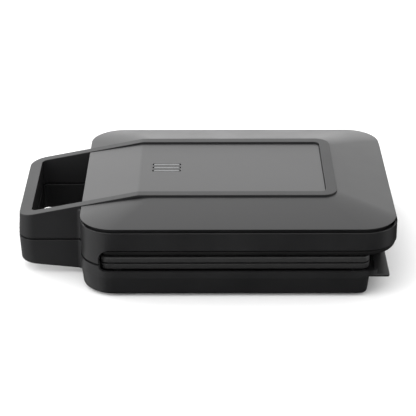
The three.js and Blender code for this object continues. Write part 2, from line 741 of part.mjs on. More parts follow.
function makeReflector() {
  const top = CASTING_Z - GAP - HEATER_D - GAP;
  const plan = { ...inset(castingRect, 4), y1: castingRect.y1 - TERMINAL_REACH };
  return prism(plan, top - REFLECTOR_THICK, top);
}

// ---------------------------------------------------------------- hinge
const hingeAt = (side) => side * HINGE_SPACING / 2;

function makeBracket(side) {
  const x0 = hingeAt(side) - LUG_THICK / 2;
  const foot = SHELF_Z + GAP;
  const [y0, y1] = [HINGE_Y - LUG_RADIUS, HINGE_Y + LUG_RADIUS];
  const upright = box(x0, x0 + LUG_THICK, y0, y1, foot, HINGE_Z);
  const flangeStart = side > 0 ? x0 - FLANGE_REACH : x0;
  const flangeEnd = flangeStart + FLANGE_REACH + LUG_THICK;
  const flange = box(flangeStart, flangeEnd, y0, y1, foot, foot + FLANGE_THICK);
  const eye = discX(LUG_RADIUS, x0, x0 + LUG_THICK, HINGE_Y, HINGE_Z);
  return cut(join(upright, flange, eye), discX(PIN_D / 2 + PIN_RUN, x0 - 20, x0 + 20, HINGE_Y, HINGE_Z));
}

// The heel behind each lid lug meets the shelf when the lid is fully open.
function makeLug(side) {
  const x0 = side > 0 ? hingeAt(1) + LUG_THICK / 2 + LUG_ROOM : hingeAt(-1) - 1.5 * LUG_THICK - LUG_ROOM;
  const open = THREE.MathUtils.degToRad(HINGE_OPEN);
  const heelZ = LUG_RADIUS - 1;
  const drop = HINGE_Z - SHELF_Z;
  const top = DECK_Z - GAP;
  const heel = (drop - GAP + (top - HINGE_Z) * Math.cos(open)) / Math.sin(open);
  const armTop = LID_FLOOR_Z - GAP;
  const arm = box(x0, x0 + LUG_THICK, HINGE_Y - LUG_RADIUS, HINGE_Y + LUG_RADIUS, HINGE_Z, armTop);
  const stop = box(x0, x0 + LUG_THICK, HINGE_Y, HINGE_Y + heel, HINGE_Z + heelZ, top);
  const eye = discX(LUG_RADIUS, x0, x0 + LUG_THICK, HINGE_Y, HINGE_Z);
  return cut(join(arm, stop, eye), discX(PIN_D / 2 + PIN_RUN, x0 - 20, x0 + 20, HINGE_Y, HINGE_Z));
}

function makePin(side) {
  const inner = hingeAt(side) - side * (LUG_THICK / 2 + 2.4);
  const outer = hingeAt(side) + side * (1.5 * LUG_THICK + LUG_ROOM + GAP);
  const shaft = discX(PIN_D / 2, Math.min(inner, outer), Math.max(inner, outer), HINGE_Y, HINGE_Z);
  const end = outer + side * PIN_HEAD;
  const cap = discX(PIN_D / 2 + PIN_HEAD, Math.min(outer, end), Math.max(outer, end), HINGE_Y, HINGE_Z);
  return join(shaft, cap);
}

function makeClip(side) {
  const near = hingeAt(side) - side * (LUG_THICK / 2 + GAP);
  const far = near - side;
  const ring = discX(PIN_D / 2 + CLIP_WIDTH, Math.min(near, far), Math.max(near, far), HINGE_Y, HINGE_Z);
  return cut(ring, discX(PIN_D / 2 + PIN_RUN, near - 5, near + 5, HINGE_Y, HINGE_Z));
}

// ---------------------------------------------------------------- electrics
const INLET_D = 8;
const INLET_HEIGHT = 6.2;

function makeInletBush() {
  const wallY = baseRect.y1;
  const z = FLOOR + INLET_HEIGHT;
  const ring = (radius, y0, y1) => {
    const geometry = new THREE.CylinderGeometry(radius, radius, y1 - y0, 20);
    return solid(geometry.translate(0, (y0 + y1) / 2, z));
  };
  const collar = ring(INLET_D / 2 + 1.4, wallY + GAP, wallY + 2.6);
  const sleeve = ring(INLET_D / 2, wallY - 6, wallY + 1);
  return cut(join(collar, sleeve), ring(INLET_D / 2 - 1.4, wallY - 10, wallY + 10));
}

function inletHole() {
  const geometry = new THREE.CylinderGeometry(INLET_D / 2 + GAP, INLET_D / 2 + GAP, 12, 20);
  return solid(geometry.translate(0, baseRect.y1 - BASE_DRAFT, FLOOR + INLET_HEIGHT));
}

const TERMINAL_BLOCK = { x0: 26, length: 30, width: 11, height: 6 };

function makeTerminalBlock() {
  const { x0, length, width, height } = TERMINAL_BLOCK;
  const y1 = castingRect.y1 - 1;
  const z0 = BOTTOM_Z + BOTTOM_THICK + GAP;
  return box(x0, x0 + length, y1 - width, y1, z0, z0 + height);
}

const THERMOSTAT = { radius: 8, height: 5, fromFront: 62 };

function makeThermostat() {
  const { radius, height, fromFront } = THERMOSTAT;
  const top = CASTING_Z - GAP;
  return discZ(radius, 0, castingRect.y0 + fromFront, top - height, top, 20);
}

const LAMP_TALL = 4.2;
const LAMP_RADIUS = 1.6;
const HOLDER = { halfWidth: 9, halfLength: 12, thick: 1.6 };

function makeLampHolder() {
  const { halfWidth, halfLength, thick } = HOLDER;
  const top = LENS_Z - LAMP_TALL - 2 * GAP;
  return box(-halfWidth, halfWidth, LAMP_Y - halfLength, LAMP_Y + halfLength, top - thick, top);
}

const makeLamp = (x) => discZ(LAMP_RADIUS, x, LAMP_Y, LENS_Z - LAMP_TALL - GAP, LENS_Z - GAP, 12);

// ---------------------------------------------------------------- assembly
place('base_housing', cut(makeBaseHousing(), inletHole(), ...screwBores), 'shell', base);
place('bottom_cover', makeBottomCover(), 'shell', base);
place('lower_handle', makeLowerHandle(), 'handle', base);
place('lower_plate', makePlate(), 'coating', base);
place('lower_heater', makeHeater(), 'element', base);
place('lower_reflector', makeReflector(), 'steel', base);
place('thermostat', makeThermostat(), 'ceramic', base);
place('terminal_block', makeTerminalBlock(), 'ceramic', base);
place('cord_inlet_bush', makeInletBush(), 'rubber', base);
footSpots.forEach((spot, i) => place(`rubber_foot_${i + 1}`, makeFoot(spot), 'rubber', base));
bossSpots.forEach((spot, i) => {
  place(`lower_plate_spacer_${i + 1}`, makeSpacer(spot), 'steel', base);
  place(`lower_plate_screw_${i + 1}`, makePlateScrew(spot), 'steel', base);
  place(`upper_plate_spacer_${i + 1}`, mirrored(makeSpacer(spot)), 'steel', lid);
  place(`upper_plate_screw_${i + 1}`, mirrored(makePlateScrew(spot)), 'steel', lid);
});
[['right', 1], ['left', -1]].forEach(([name, side]) => {
  place(`hinge_bracket_${name}`, makeBracket(side), 'steel', base);
  place(`hinge_pin_${name}`, makePin(side), 'steel', base);
  place(`hinge_clip_${name}`, makeClip(side), 'steel', base);
  place(`hinge_lug_${name}`, makeLug(side), 'steel', lid);
});

place('lid_cover', makeLidCover(), 'shell', lid);
place('lid_wall', makeLidWall(), 'shell', lid);
place('lid_deck', cut(makeLidDeck(), ...screwBores), 'shell', lid);
place('upper_handle', makeUpperHandle(), 'handle', lid);
place('top_panel', makeTopPanel(), 'panel', lid);
place('indicator_lens', makeLampLens(), 'lens', lid);
place('lamp_holder', makeLampHolder(), 'ceramic', lid);
place('power_lamp', makeLamp(-LAMP_PITCH), 'lamp', lid);
place('ready_lamp', makeLamp(LAMP_PITCH), 'lamp', lid);
place('upper_plate', mirrored(makePlate()), 'coating', lid);
place('upper_heater', mirrored(makeHeater()), 'element', lid);
place('upper_reflector', mirrored(makeReflector()), 'steel', lid);
place('thermal_fuse', mirrored(makeThermostat()), 'brass', lid);

// The origin is under the middle of the whole footprint, on the surface it stands on.
assembly.position.y = -(HANDLE_Y + lidWallRect.y1) / 2;

export default assembly;
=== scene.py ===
# %% [markdown]
# # A waffle maker in black moulded plastic
#
# The object is two moulded shells that close on two cast cooking plates. Half of a basket
# handle belongs to each shell, and a hinge at the rear joins them.
# The working frame is loaded first. It says where every part is and which parts move with
# the lid, so each piece made below takes its place from the frame and rides on the base or
# on the lid. That way the lid can open and nothing is left behind.

# %% Load the working frame
from math import asin, cos, degrees, pi, radians, sin, sqrt

import bpy
import bmesh
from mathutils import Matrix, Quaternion, Vector


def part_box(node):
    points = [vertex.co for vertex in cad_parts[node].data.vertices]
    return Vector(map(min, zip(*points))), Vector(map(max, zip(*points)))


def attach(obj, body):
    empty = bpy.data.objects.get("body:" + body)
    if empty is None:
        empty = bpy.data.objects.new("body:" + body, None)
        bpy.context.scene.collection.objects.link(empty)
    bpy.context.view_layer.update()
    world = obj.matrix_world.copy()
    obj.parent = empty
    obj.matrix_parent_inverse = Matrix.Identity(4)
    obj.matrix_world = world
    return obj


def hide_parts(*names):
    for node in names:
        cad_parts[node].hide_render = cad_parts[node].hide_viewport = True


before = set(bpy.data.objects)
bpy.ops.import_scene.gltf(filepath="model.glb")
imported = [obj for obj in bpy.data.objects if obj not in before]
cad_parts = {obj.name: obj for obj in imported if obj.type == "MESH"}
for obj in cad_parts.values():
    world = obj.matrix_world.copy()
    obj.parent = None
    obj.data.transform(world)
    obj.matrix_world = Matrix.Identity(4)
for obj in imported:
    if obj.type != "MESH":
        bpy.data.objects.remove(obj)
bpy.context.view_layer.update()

# %% [markdown]
# ## Working in millimetres
#
# A maker measures in millimetres and Blender works in metres. Every shape below is laid out
# in millimetres, and one function turns it into a mesh in metres. `corners` reads the box of
# a part in the frame, so that a piece is as large as the part that it dresses.

# %% Units and the corners of a part
def corners(node):
    """The lowest and the highest corner of a part, in millimetres."""
    low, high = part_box(node)
    return low * 1000, high * 1000


def mesh_piece(name, points, faces):
    """A new object from points in millimetres."""
    mesh = bpy.data.meshes.new(name)
    mesh.from_pydata([[c / 1000 for c in p] for p in points], [], faces)
    work = bmesh.new()
    work.from_mesh(mesh)
    bmesh.ops.remove_doubles(work, verts=work.verts, dist=4e-6)
    bmesh.ops.dissolve_degenerate(work, edges=work.edges, dist=1e-6)
    work.to_mesh(mesh)
    work.free()
    piece = bpy.data.objects.new(name, mesh)
    bpy.context.scene.collection.objects.link(piece)
    return piece


cover_low, cover_high = corners("lid_cover")
wall_low, wall_high = corners("lid_wall")
deck_low, deck_high = corners("lid_deck")
housing_low, housing_high = corners("base_housing")
upper_low, upper_high = corners("upper_handle")
lower_high = corners("lower_handle")[1]
panel_low = corners("top_panel")[0]
plate_low, plate_high = corners("lower_plate")
print("lid cover, mm:", [round(c, 1) for c in cover_low], [round(c, 1) for c in cover_high])

# %% [markdown]
# ## Outlines, rings and lofts
#
# Seen from above, every shell here is a rectangle with rounded corners. `half_outline` walks
# along the right half of one, from front to rear, and keeps the outward direction at each
# point, so that moving a point inwards keeps the wall even. `ring` gives such an outline a
# height, and `loft` joins a stack of rings with faces. The faces run in clean rows, and that
# is what makes the light slide smoothly over a moulded corner.

# %% Outlines
def half_outline(half, front, rear, front_radius, rear_radius, steps=14, marks=(), side=()):
    """The right half of a rounded rectangle: (x, y, outward x, outward y), front to rear.

    marks are heights along Y inside the front corner, and side are places on the straight."""
    centre = front + front_radius
    turns = [90 * i / steps for i in range(steps + 1)]
    turns += [90 - degrees(asin((centre - y) / front_radius)) for y in marks if front < y < centre]
    points = []
    for turn in sorted(turns):
        angle = radians(turn - 90)
        points.append((half - front_radius + front_radius * cos(angle),
                       centre + front_radius * sin(angle), cos(angle), sin(angle)))
    points += [(half, y, 1.0, 0.0) for y in side]
    for step in range(steps + 1):
        angle = pi / 2 * step / steps
        points.append((half - rear_radius + rear_radius * cos(angle),
                       rear - rear_radius + rear_radius * sin(angle), cos(angle), sin(angle)))
    return points


def whole(points):
    """Both halves, counterclockwise from above."""
    return points + [(-x, y, -nx, ny) for x, y, nx, ny in reversed(points)]


def ring(outline, inset, height):
    """The outline moved inwards, at one height or at a height that depends on Y."""
    spots = [(x - inset * nx, y - inset * ny) for x, y, nx, ny in outline]
    return [(x, y, height(y) if callable(height) else height) for x, y in spots]


# %% [markdown]
# A stack of rings makes three kinds of piece: a closed block with a lid and a floor, an open
# sheet, or a loop that returns to its first ring, as a frame does. The flat ends are filled
# with strips that run across from right to left, so a fold in the outline stays straight.

# %% Lofts
def loft(name, rings, ends="filled"):
    """Faces through a stack of rings. ends is filled, open or joined."""
    count = len(rings[0])
    points = [point for each in rings for point in each]
    pairs = [(level, level + 1) for level in range(len(rings) - 1)]
    if ends == "joined":
        pairs.append((len(rings) - 1, 0))
    faces = []
    for a, b in pairs:
        for i in range(count):
            j = (i + 1) % count
            faces.append((a * count + i, a * count + j, b * count + j, b * count + i))
    if ends == "filled":
        top = (len(rings) - 1) * count
        for i in range(count // 2 - 1):
            far, near = count - 1 - i, count - 2 - i
            faces.append((far, near, i + 1, i))
            faces.append((top + i, top + i + 1, top + near, top + far))
    return mesh_piece(name, points, faces)


def rounded(outline, low, high, bottom=0.4, top=0.4, steps=3):
    """Rings of an upright slab whose two edges are rounded. Heights may depend on Y."""
    def at(base, lift):
        return (lambda y: base(y) + lift) if callable(base) else base + lift

    arcs = [pi / 2 * step / steps for step in range(steps + 1)]
    rings = [ring(outline, bottom * (1 - sin(a)), at(low, bottom * (1 - cos(a)))) for a in arcs]
    rings += [ring(outline, top * (1 - cos(a)), at(high, top * (sin(a) - 1))) for a in arcs]
    return rings


# %% [markdown]
# ## Finishing a mesh
#
# Real moulded edges are never sharp: the mould is rounded, so an edge shows as a thin line of
# light. `soften` adds that small radius with a Bevel modifier, and `settle` turns the result
# into a plain mesh. The last step makes large faces keep their own direction in the shading
# (Weighted Normal), so a flat side stays flat beside its rounded edge.

# %% Bevel, settle and shade
def settle(piece):
    """Replaces the object's modifiers by the mesh that they make."""
    bpy.context.view_layer.update()
    graph = bpy.context.evaluated_depsgraph_get()
    mesh = bpy.data.meshes.new_from_object(piece.evaluated_get(graph))
    piece.modifiers.clear()
    piece.data = mesh
    return piece


def soften(piece, width, segments=3, angle=38):
    """Rounds every edge sharper than the angle by a width in millimetres."""
    bevel = piece.modifiers.new("edge radius", "BEVEL")
    bevel.width = width / 1000
    bevel.segments = segments
    bevel.limit_method = "ANGLE"
    bevel.angle_limit = radians(angle)
    bevel.miter_outer = "MITER_ARC"
    return settle(piece)


def shade(piece, angle=32):
    """Smooth shading that keeps large faces flat."""
    piece.data.shade_smooth()
    piece.data.set_sharp_from_angle(angle=radians(angle))
    normals = piece.modifiers.new("even shading", "WEIGHTED_NORMAL")
    normals.keep_sharp = True
    normals.weight = 80
    return settle(piece)


def combine(piece, other, operation="DIFFERENCE"):
    """A boolean of two closed pieces. The second one is used up."""
    step = piece.modifiers.new("cut", "BOOLEAN")
    step.object = other
    step.operation = operation
    step.solver = "EXACT"
    settle(piece)
    bpy.data.objects.remove(other)
    return piece


made = []


def dress(piece, finish, slot, body, *nodes):
    """Gives a finished piece its material, its body and the parts that it stands for."""
    piece.data.materials.clear()
    piece.data.materials.append(finish)
    shade(piece)
    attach(piece, body)
    if nodes:
        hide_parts(*nodes)
    made.append(piece.name)
    print(f"{piece.name}: {len(piece.data.polygons)} faces, rides on {body}")
    return piece


# %% [markdown]
# ## Colours and the node helper
#
# Colours are written as the hex values that a paint chart gives, and one function turns them
# into the linear numbers that Blender calculates with. `add` puts one node in a tree, sets
# its values and links its inputs. Every material below is built with it.

# %% Colour and node helpers
def paint(code):
    """An sRGB hex colour as linear red, green, blue and alpha."""
    values = [int(code[i:i + 2], 16) / 255 for i in (1, 3, 5)]
    return [v / 12.92 if v <= 0.04045 else ((v + 0.055) / 1.055) ** 2.4 for v in values] + [1.0]


def add(tree, kind, values=None, links=None, **settings):
    """One node with its settings, its input values and its links."""
    node = tree.nodes.new(kind)
    for key, value in settings.items():
        setattr(node, key, value)
    for key, value in (values or {}).items():
        node.inputs[key].default_value = value
    for key, source in (links or {}).items():
        tree.links.new(source, node.inputs[key])
    return node


# %% [markdown]
# ## Moulded ABS with a fine spark-eroded grain
#
# The shells are black ABS. The steel mould was textured by sparks, which leaves a fine,
# even grain on the plastic: the surface is satin, and reflections of large lights are soft.
# Such a grain is often about 0.3 mm. That is finer than a small render shows, so the
# bump is drawn at 0.8 mm. A second, very large and faint variation stands for the slow
# change in gloss that a moulding always has where the plastic flowed and cooled.

# %% The plastic finishes
def satin_plastic(name, dark, light, gloss, grain, depth, shine=0.5):
    """Black moulded plastic. gloss is (low, high) roughness, grain and depth are in mm."""
    material = bpy.data.materials.new(name)
    material.use_nodes = True
    tree = material.node_tree
    shader = tree.nodes["Principled BSDF"]
    where = add(tree, "ShaderNodeTexCoord").outputs["Object"]
    flow = add(tree, "ShaderNodeTexNoise", {"Scale": 1 / 0.055, "Detail": 3.0, "Roughness": 0.55},
               {"Vector": where})
    pits = add(tree, "ShaderNodeTexNoise", {"Scale": 1000 / grain, "Detail": 2.0, "Roughness": 0.6},
               {"Vector": where})
    colours = add(tree, "ShaderNodeValToRGB", links={"Fac": flow.outputs["Fac"]})
    colours.color_ramp.elements[0].position = 0.3
    colours.color_ramp.elements[0].color = paint(dark)
    colours.color_ramp.elements[1].position = 0.7
    colours.color_ramp.elements[1].color = paint(light)
    mixed = add(tree, "ShaderNodeMath", {1: 0.35}, {0: pits.outputs["Fac"]}, operation="MULTIPLY")
    both = add(tree, "ShaderNodeMath", links={0: flow.outputs["Fac"], 1: mixed.outputs[0]},
               operation="ADD")
    rough = add(tree, "ShaderNodeMapRange", {"From Min": 0.4, "From Max": 0.95,
                                             "To Min": gloss[0], "To Max": gloss[1]},
                {"Value": both.outputs[0]})
    bump = add(tree, "ShaderNodeBump", {"Strength": 0.5, "Distance": depth / 1000},
               {"Height": pits.outputs["Fac"]})
    tree.links.new(colours.outputs["Color"], shader.inputs["Base Color"])
    tree.links.new(rough.outputs["Result"], shader.inputs["Roughness"])
    tree.links.new(bump.outputs["Normal"], shader.inputs["Normal"])
    shader.inputs["IOR"].default_value = 1.53
    shader.inputs["Specular IOR Level"].default_value = shine
    return material


shell_abs = satin_plastic("satin_black_abs_shell", "#101011", "#151516", (0.34, 0.42), 0.8, 0.02)
handle_abs = satin_plastic("satin_black_abs_handle", "#181819", "#1c1c1d", (0.38, 0.46), 0.8, 0.03, 0.28)
# The deck's plastic is a darker, duller copy of the shell's. Its darker colour is painted shade for the
# ledge that sits back under the lid wall.
deck_abs_painted_shade = satin_plastic("matt_black_abs_deck_painted_shade", "#0e0e0e", "#131313", (0.5, 0.6), 0.8, 0.02, 0.15)
panel_abs = satin_plastic("fine_black_abs_panel", "#1c1c1d", "#212122", (0.30, 0.36), 0.6, 0.01, 0.55)
print("plastics:", shell_abs.name, handle_abs.name, panel_abs.name)

# %% [markdown]
# ## The other finishes
#
# The cooking plates are cast aluminium under a sprayed non-stick coating: dark grey, with
# pale specks in it and a slight orange-peel surface from spraying. Feet and cord bush are
# moulded rubber. Screws, brackets and pins are zinc-plated steel, rolled or turned, so they
# have fine streaks. The heating element is a tube of oxidised nickel alloy.

# %% Coating, rubber, metals, ceramic
def speckled(name, base, speck, rough, spacing, share, bump_mm, metal=0.0, shine=0.5):
    """A base colour with small specks, spacing in mm, and a faint uneven surface."""
    material = bpy.data.materials.new(name)
    material.use_nodes = True
    tree = material.node_tree
    shader = tree.nodes["Principled BSDF"]
    where = add(tree, "ShaderNodeTexCoord").outputs["Object"]
    cells = add(tree, "ShaderNodeTexVoronoi", {"Scale": 1000 / spacing}, {"Vector": where})
    mask = add(tree, "ShaderNodeMapRange", {"From Min": share, "From Max": share * 0.6,
                                            "To Min": 0.0, "To Max": 1.0},
               {"Value": cells.outputs["Distance"]})
    colours = add(tree, "ShaderNodeValToRGB", links={"Fac": mask.outputs["Result"]})
    colours.color_ramp.elements[0].color = paint(base)
    colours.color_ramp.elements[1].color = paint(speck)
    peel = add(tree, "ShaderNodeTexNoise", {"Scale": 1000 / 1.6, "Detail": 2.0}, {"Vector": where})
    glossy = add(tree, "ShaderNodeMapRange", {"To Min": rough[0], "To Max": rough[1]},
                 {"Value": peel.outputs["Fac"]})
    bump = add(tree, "ShaderNodeBump", {"Strength": 0.6, "Distance": bump_mm / 1000},
               {"Height": peel.outputs["Fac"]})
    tree.links.new(colours.outputs["Color"], shader.inputs["Base Color"])
    tree.links.new(glossy.outputs["Result"], shader.inputs["Roughness"])
    tree.links.new(bump.outputs["Normal"], shader.inputs["Normal"])
    shader.inputs["Metallic"].default_value = metal
    if not metal:
        shader.inputs["Specular IOR Level"].default_value = shine
    return material


def drawn_metal(name, dark, light, rough, streak_mm):
    """Plated or drawn metal with fine streaks along Z."""
    material = bpy.data.materials.new(name)
    material.use_nodes = True
    tree = material.node_tree
    shader = tree.nodes["Principled BSDF"]
    where = add(tree, "ShaderNodeTexCoord").outputs["Object"]
    long = add(tree, "ShaderNodeMapping", {"Scale": (1.0, 1.0, 0.12)}, {"Vector": where})
    streaks = add(tree, "ShaderNodeTexNoise", {"Scale": 1000 / streak_mm, "Detail": 4.0},
                  {"Vector": long.outputs["Vector"]})
    colours = add(tree, "ShaderNodeValToRGB", links={"Fac": streaks.outputs["Fac"]})
    colours.color_ramp.elements[0].position = 0.3
    colours.color_ramp.elements[0].color = paint(dark)
    colours.color_ramp.elements[1].position = 0.7
    colours.color_ramp.elements[1].color = paint(light)
    glossy = add(tree, "ShaderNodeMapRange", {"To Min": rough[0], "To Max": rough[1]},
                 {"Value": streaks.outputs["Fac"]})
    tree.links.new(colours.outputs["Color"], shader.inputs["Base Color"])
    tree.links.new(glossy.outputs["Result"], shader.inputs["Roughness"])
    shader.inputs["Metallic"].default_value = 1.0
    return material


coating = speckled("non_stick_coating", "#202020", "#383837", (0.38, 0.5), 1.4, 0.2, 0.03)
rubber = speckled("moulded_rubber", "#161616", "#1e1e1e", (0.75, 0.9), 1.0, 0.3, 0.03, shine=0.3)
ceramic = speckled("glazed_steatite", "#ded8cb", "#c9c1b1", (0.35, 0.5), 2.2, 0.2, 0.02)
steel = drawn_metal("zinc_plated_steel", "#8f9296", "#b9bcc0", (0.28, 0.42), 0.9)
element = drawn_metal("oxidised_heater_sheath", "#3f3a35", "#5c554d", (0.45, 0.6), 1.5)
brass = drawn_metal("turned_brass", "#9a7a3c", "#c3a05c", (0.3, 0.45), 0.7)
blackened = drawn_metal("blackened_steel", "#1c1c1c", "#2b2b2b", (0.5, 0.65), 0.9)
print("finishes:", [m.name for m in (coating, rubber, ceramic, steel, element, brass, blackened)])

# %% [markdown]
# ## The smoked lens of the lamps
#
# Three bars of smoked polycarbonate stand in the slots of the top panel. They are smooth
# where the panel is grained, and a little lighter, so they read as pale bars between the
# dark edges of the slots. A faint change in tone keeps them from looking painted.

# %% Lens and lamp finish
def smoked_lens(name, dark, light, rough):
    """Smooth smoked polycarbonate."""
    material = bpy.data.materials.new(name)
    material.use_nodes = True
    tree = material.node_tree
    shader = tree.nodes["Principled BSDF"]
    where = add(tree, "ShaderNodeTexCoord").outputs["Object"]
    cloud = add(tree, "ShaderNodeTexNoise", {"Scale": 1 / 0.004, "Detail": 2.0}, {"Vector": where})
    colours = add(tree, "ShaderNodeValToRGB", links={"Fac": cloud.outputs["Fac"]})
    colours.color_ramp.elements[0].color = paint(dark)
    colours.color_ramp.elements[1].color = paint(light)
    glossy = add(tree, "ShaderNodeMapRange", {"To Min": rough[0], "To Max": rough[1]},
                 {"Value": cloud.outputs["Fac"]})
    tree.links.new(colours.outputs["Color"], shader.inputs["Base Color"])
    tree.links.new(glossy.outputs["Result"], shader.inputs["Roughness"])
    shader.inputs["IOR"].default_value = 1.58
    return material


lens = smoked_lens("smoked_polycarbonate", "#565758", "#676869", (0.18, 0.26))
lamp_glass = smoked_lens("lamp_glass", "#a8a49a", "#c6c2b8", (0.08, 0.16))
print("lens:", lens.name)

# %% [markdown]
# ## The lid cover
#
# The cover rises from its edge to a flat top in four gentle slopes that blend at the corners.
# It could be a subdivided box, but then the corners would bulge. Here two outlines with the
# same number of points, one at the edge and one at the top, are joined by rows of faces, and
# the rows between swell by a fraction of a millimetre, as a moulded cover does. Below its
# edge, a skirt goes into the lid wall and leaves the dark groove that runs round the lid.

# %% Lid cover
LIP = 0.4
SKIN = 2.4
CORNER = 30.0
TOP_HALF = 63.0
FRONT = cover_low.y
REAR = cover_high.y
HALF = cover_high.x
SKIRT_HEIGHT = 8.4
SKIRT_SETBACK = 3.4
SHOULDER = cover_low.z + SKIRT_HEIGHT
TOP = cover_high.z
FOLD = FRONT + 49.0
BAND_REAR = REAR - 48.5

edge_outline = whole(half_outline(HALF, FRONT, REAR, CORNER, CORNER, 18))
top_outline = whole(half_outline(TOP_HALF, FOLD, BAND_REAR, 13, 13, 18))
SWELL = 0.55
CROWN = 0.6


def between(a, b, share, inset_a, z_a, z_b):
    """A ring between two outlines, a little swollen and crowned, but not at the front."""
    rows = []
    for (xa, ya, nx, ny), (xb, yb, _, _) in zip(a, b):
        lift = (SWELL * 4 * share * (1 - share) + CROWN * share) * (1 - max(0, -ny) ** 2)
        xa, ya = xa - inset_a * nx, ya - inset_a * ny
        rows.append((xa + (xb - xa) * share, ya + (yb - ya) * share,
                     z_a + (z_b - z_a) * share + lift))
    return rows


skirt = [(x - SKIRT_SETBACK * nx, y - SKIRT_SETBACK * ny, nx, ny)
         for x, y, nx, ny in edge_outline]
cover_rings = [
    ring(skirt, SKIN, SHOULDER - LIP - 7),
    ring(skirt, 0, SHOULDER - LIP - 7),
    ring(skirt, 0, SHOULDER - LIP),
    ring(edge_outline, 0.15, SHOULDER - LIP),
    ring(edge_outline, 0, SHOULDER - LIP + 0.15),
    ring(edge_outline, 0, SHOULDER - 0.5),
    ring(edge_outline, 0.12, SHOULDER - 0.18),
    ring(edge_outline, 0.42, SHOULDER),
    *[between(edge_outline, top_outline, s / 12, 0.42, SHOULDER, TOP) for s in range(1, 13)],
]
inside = [(x - 4 * nx, y - 4 * ny, nx, ny) for x, y, nx, ny in top_outline]
cover_rings += [between(edge_outline, inside, 1, 0.42, SHOULDER, TOP), ring(inside, 0, TOP - 2.8)]
cover = loft("lid_cover_shell", cover_rings, ends="filled")
dress(cover, shell_abs, "shell", "lid", "lid_cover")

# %% [markdown]
# ## Walls with a side slot
#
# Lid and base meet at a seam along the front, but along both sides and the rear the walls
# stop short and leave a slot that shows the edges of the cooking plates. A wall is made as a
# sheet whose edge follows that slot, and the Solidify modifier then gives it a thickness. A
# bevel rounds all of its edges at once, also the curved end of the slot.

# %% Wall sheet helper
SLOT = FRONT + 16.0
SLOT_CORNER = 11.0
SEAM_Z = (housing_high.z + wall_low.z) / 2
SEAM_ROOM = 0.85


def thick_wall(name, rows, thickness, radius):
    """Rows of points, lowest first, made into a wall of one thickness with rounded edges."""
    wall = loft(name, rows, ends="open")
    solid = wall.modifiers.new("thickness", "SOLIDIFY")
    solid.thickness = thickness / 1000
    solid.offset = -1
    solid.use_even_offset = True
    settle(wall)
    return soften(wall, radius)


# %% [markdown]
# The lid wall leans in slightly at its top edge, where it forms the lower side of the groove.
# At the slot's front end the edge climbs from the seam in a quarter circle. Two columns of
# points stand at the same place there, one for the tall part and one for the short one.

# %% Lid wall
LID_EDGE = 45.1
slot_arc = [SLOT + d for d in (0.001, 0.2, 0.8, 1.8, 3.1, 4.7, 6.5, 8.7, 10.9)]
lid_outline = whole(half_outline(wall_high.x, wall_low.y, wall_high.y, CORNER, CORNER, 18,
                                 marks=[SLOT - 0.001, *slot_arc]))


def lid_edge(y):
    """The lower edge of the lid wall where the side slot is."""
    reach = y - SLOT
    if reach < 0:
        return LID_EDGE - SLOT_CORNER
    if reach >= SLOT_CORNER:
        return LID_EDGE
    return LID_EDGE - SLOT_CORNER + sqrt(max(0, SLOT_CORNER ** 2 - (SLOT_CORNER - reach) ** 2))


wall_top = wall_high.z - 1.0
lid_foot = wall_low.z + SEAM_ROOM
lid_rows = [
    ring(lid_outline, 0, lambda y: lid_foot if y < SLOT else lid_edge(y)),
    ring(lid_outline, 0, lid_edge),
    ring(lid_outline, 0, LID_EDGE + 2),
    ring(lid_outline, 0, wall_top - 0.2),
    ring(lid_outline, 0.06, wall_top - 0.06),
    ring(lid_outline, 0.2, wall_top),
]
lid_wall = thick_wall("lid_side_wall", lid_rows, SKIN, 0.3)
dress(lid_wall, shell_abs, "shell", "lid", "lid_wall")

# %% [markdown]
# ## The lid's inner deck
#
# Inside the wall lies the deck that carries the upper plate. Its edge is a rounded ledge. It is set back
# by a millimetre along the slot and by more behind the tall front wall. The round is for the look alone:
# it gives the ledge a soft shade where the slot shows it. Its plastic is a darker, duller copy of the
# shell's, and the darker colour is painted shade for the ledge under the lid wall.

# %% Lid deck
PLATE_MARGIN = 9.5
LEDGE_ROUND = 4.4
LEDGE_HIGH = 43.7


def deck_inset(y):
    """The ledge stands out in the slot and steps back behind the tall front wall."""
    reach = min(1, max(0, (y - SLOT - 0.5) / 5.5))
    return 2.7 - 1.7 * reach * reach * (3 - 2 * reach)


def stepped(outline, extra, z):
    """A ring that keeps the ledge's own setback."""
    return [(x - (deck_inset(y) + extra) * nx, y - (deck_inset(y) + extra) * ny, z)
            for x, y, nx, ny in outline]


plate_hole = whole(half_outline(plate_high.x, plate_low.y, plate_high.y, 7, 7, 18,
                                marks=[plate_low.y + 0.35 * i for i in range(1, 11)]))
deck_bottom = deck_low.z
deck_rings = [
    ring(plate_hole, PLATE_MARGIN - 3, deck_bottom),
    *[stepped(lid_outline, LEDGE_ROUND * (1 - cos(a)), deck_bottom + LEDGE_ROUND * (1 - sin(a)))
      for a in (pi / 2, pi / 3, pi / 4, pi / 6, pi / 12, 0)],
    stepped(lid_outline, 0, LEDGE_HIGH - 0.3),
    stepped(lid_outline, 0.3, LEDGE_HIGH),
    stepped(lid_outline, 4.4, LEDGE_HIGH + 0.1),
    stepped(lid_outline, 4.4, LID_EDGE + 0.4),
    ring(lid_outline, 2.7, LID_EDGE + 0.5),
    ring(lid_outline, 2.7, deck_high.z),
    ring(plate_hole, PLATE_MARGIN - 3, deck_high.z),
]
lid_deck = loft("lid_inner_deck", deck_rings, ends="joined")
# The deck wears the darker copy of the shell plastic, which is painted shade for its ledge.
dress(lid_deck, deck_abs_painted_shade, "shell", "lid", "lid_deck")

# %% [markdown]
# ## The upper half of the handle
#
# The handle is one long loop: a bar ahead of the lid, two arms that run back, and a flat band
# that frames the top panel. The top of the loop is level over the lid and falls away ahead of
# the fold. Each ring below is the whole loop at one step round its section: up the outside,
# over the top, down the inside, and back through the hollow underneath.

# %% Band heights
BAND_Z = upper_high.z
BAND_SLOPE = 0.2
HANDLE_SEAM = (upper_low.z + lower_high.z) / 2
HANDLE_FRONT = upper_low.y
LEAN = 2.2


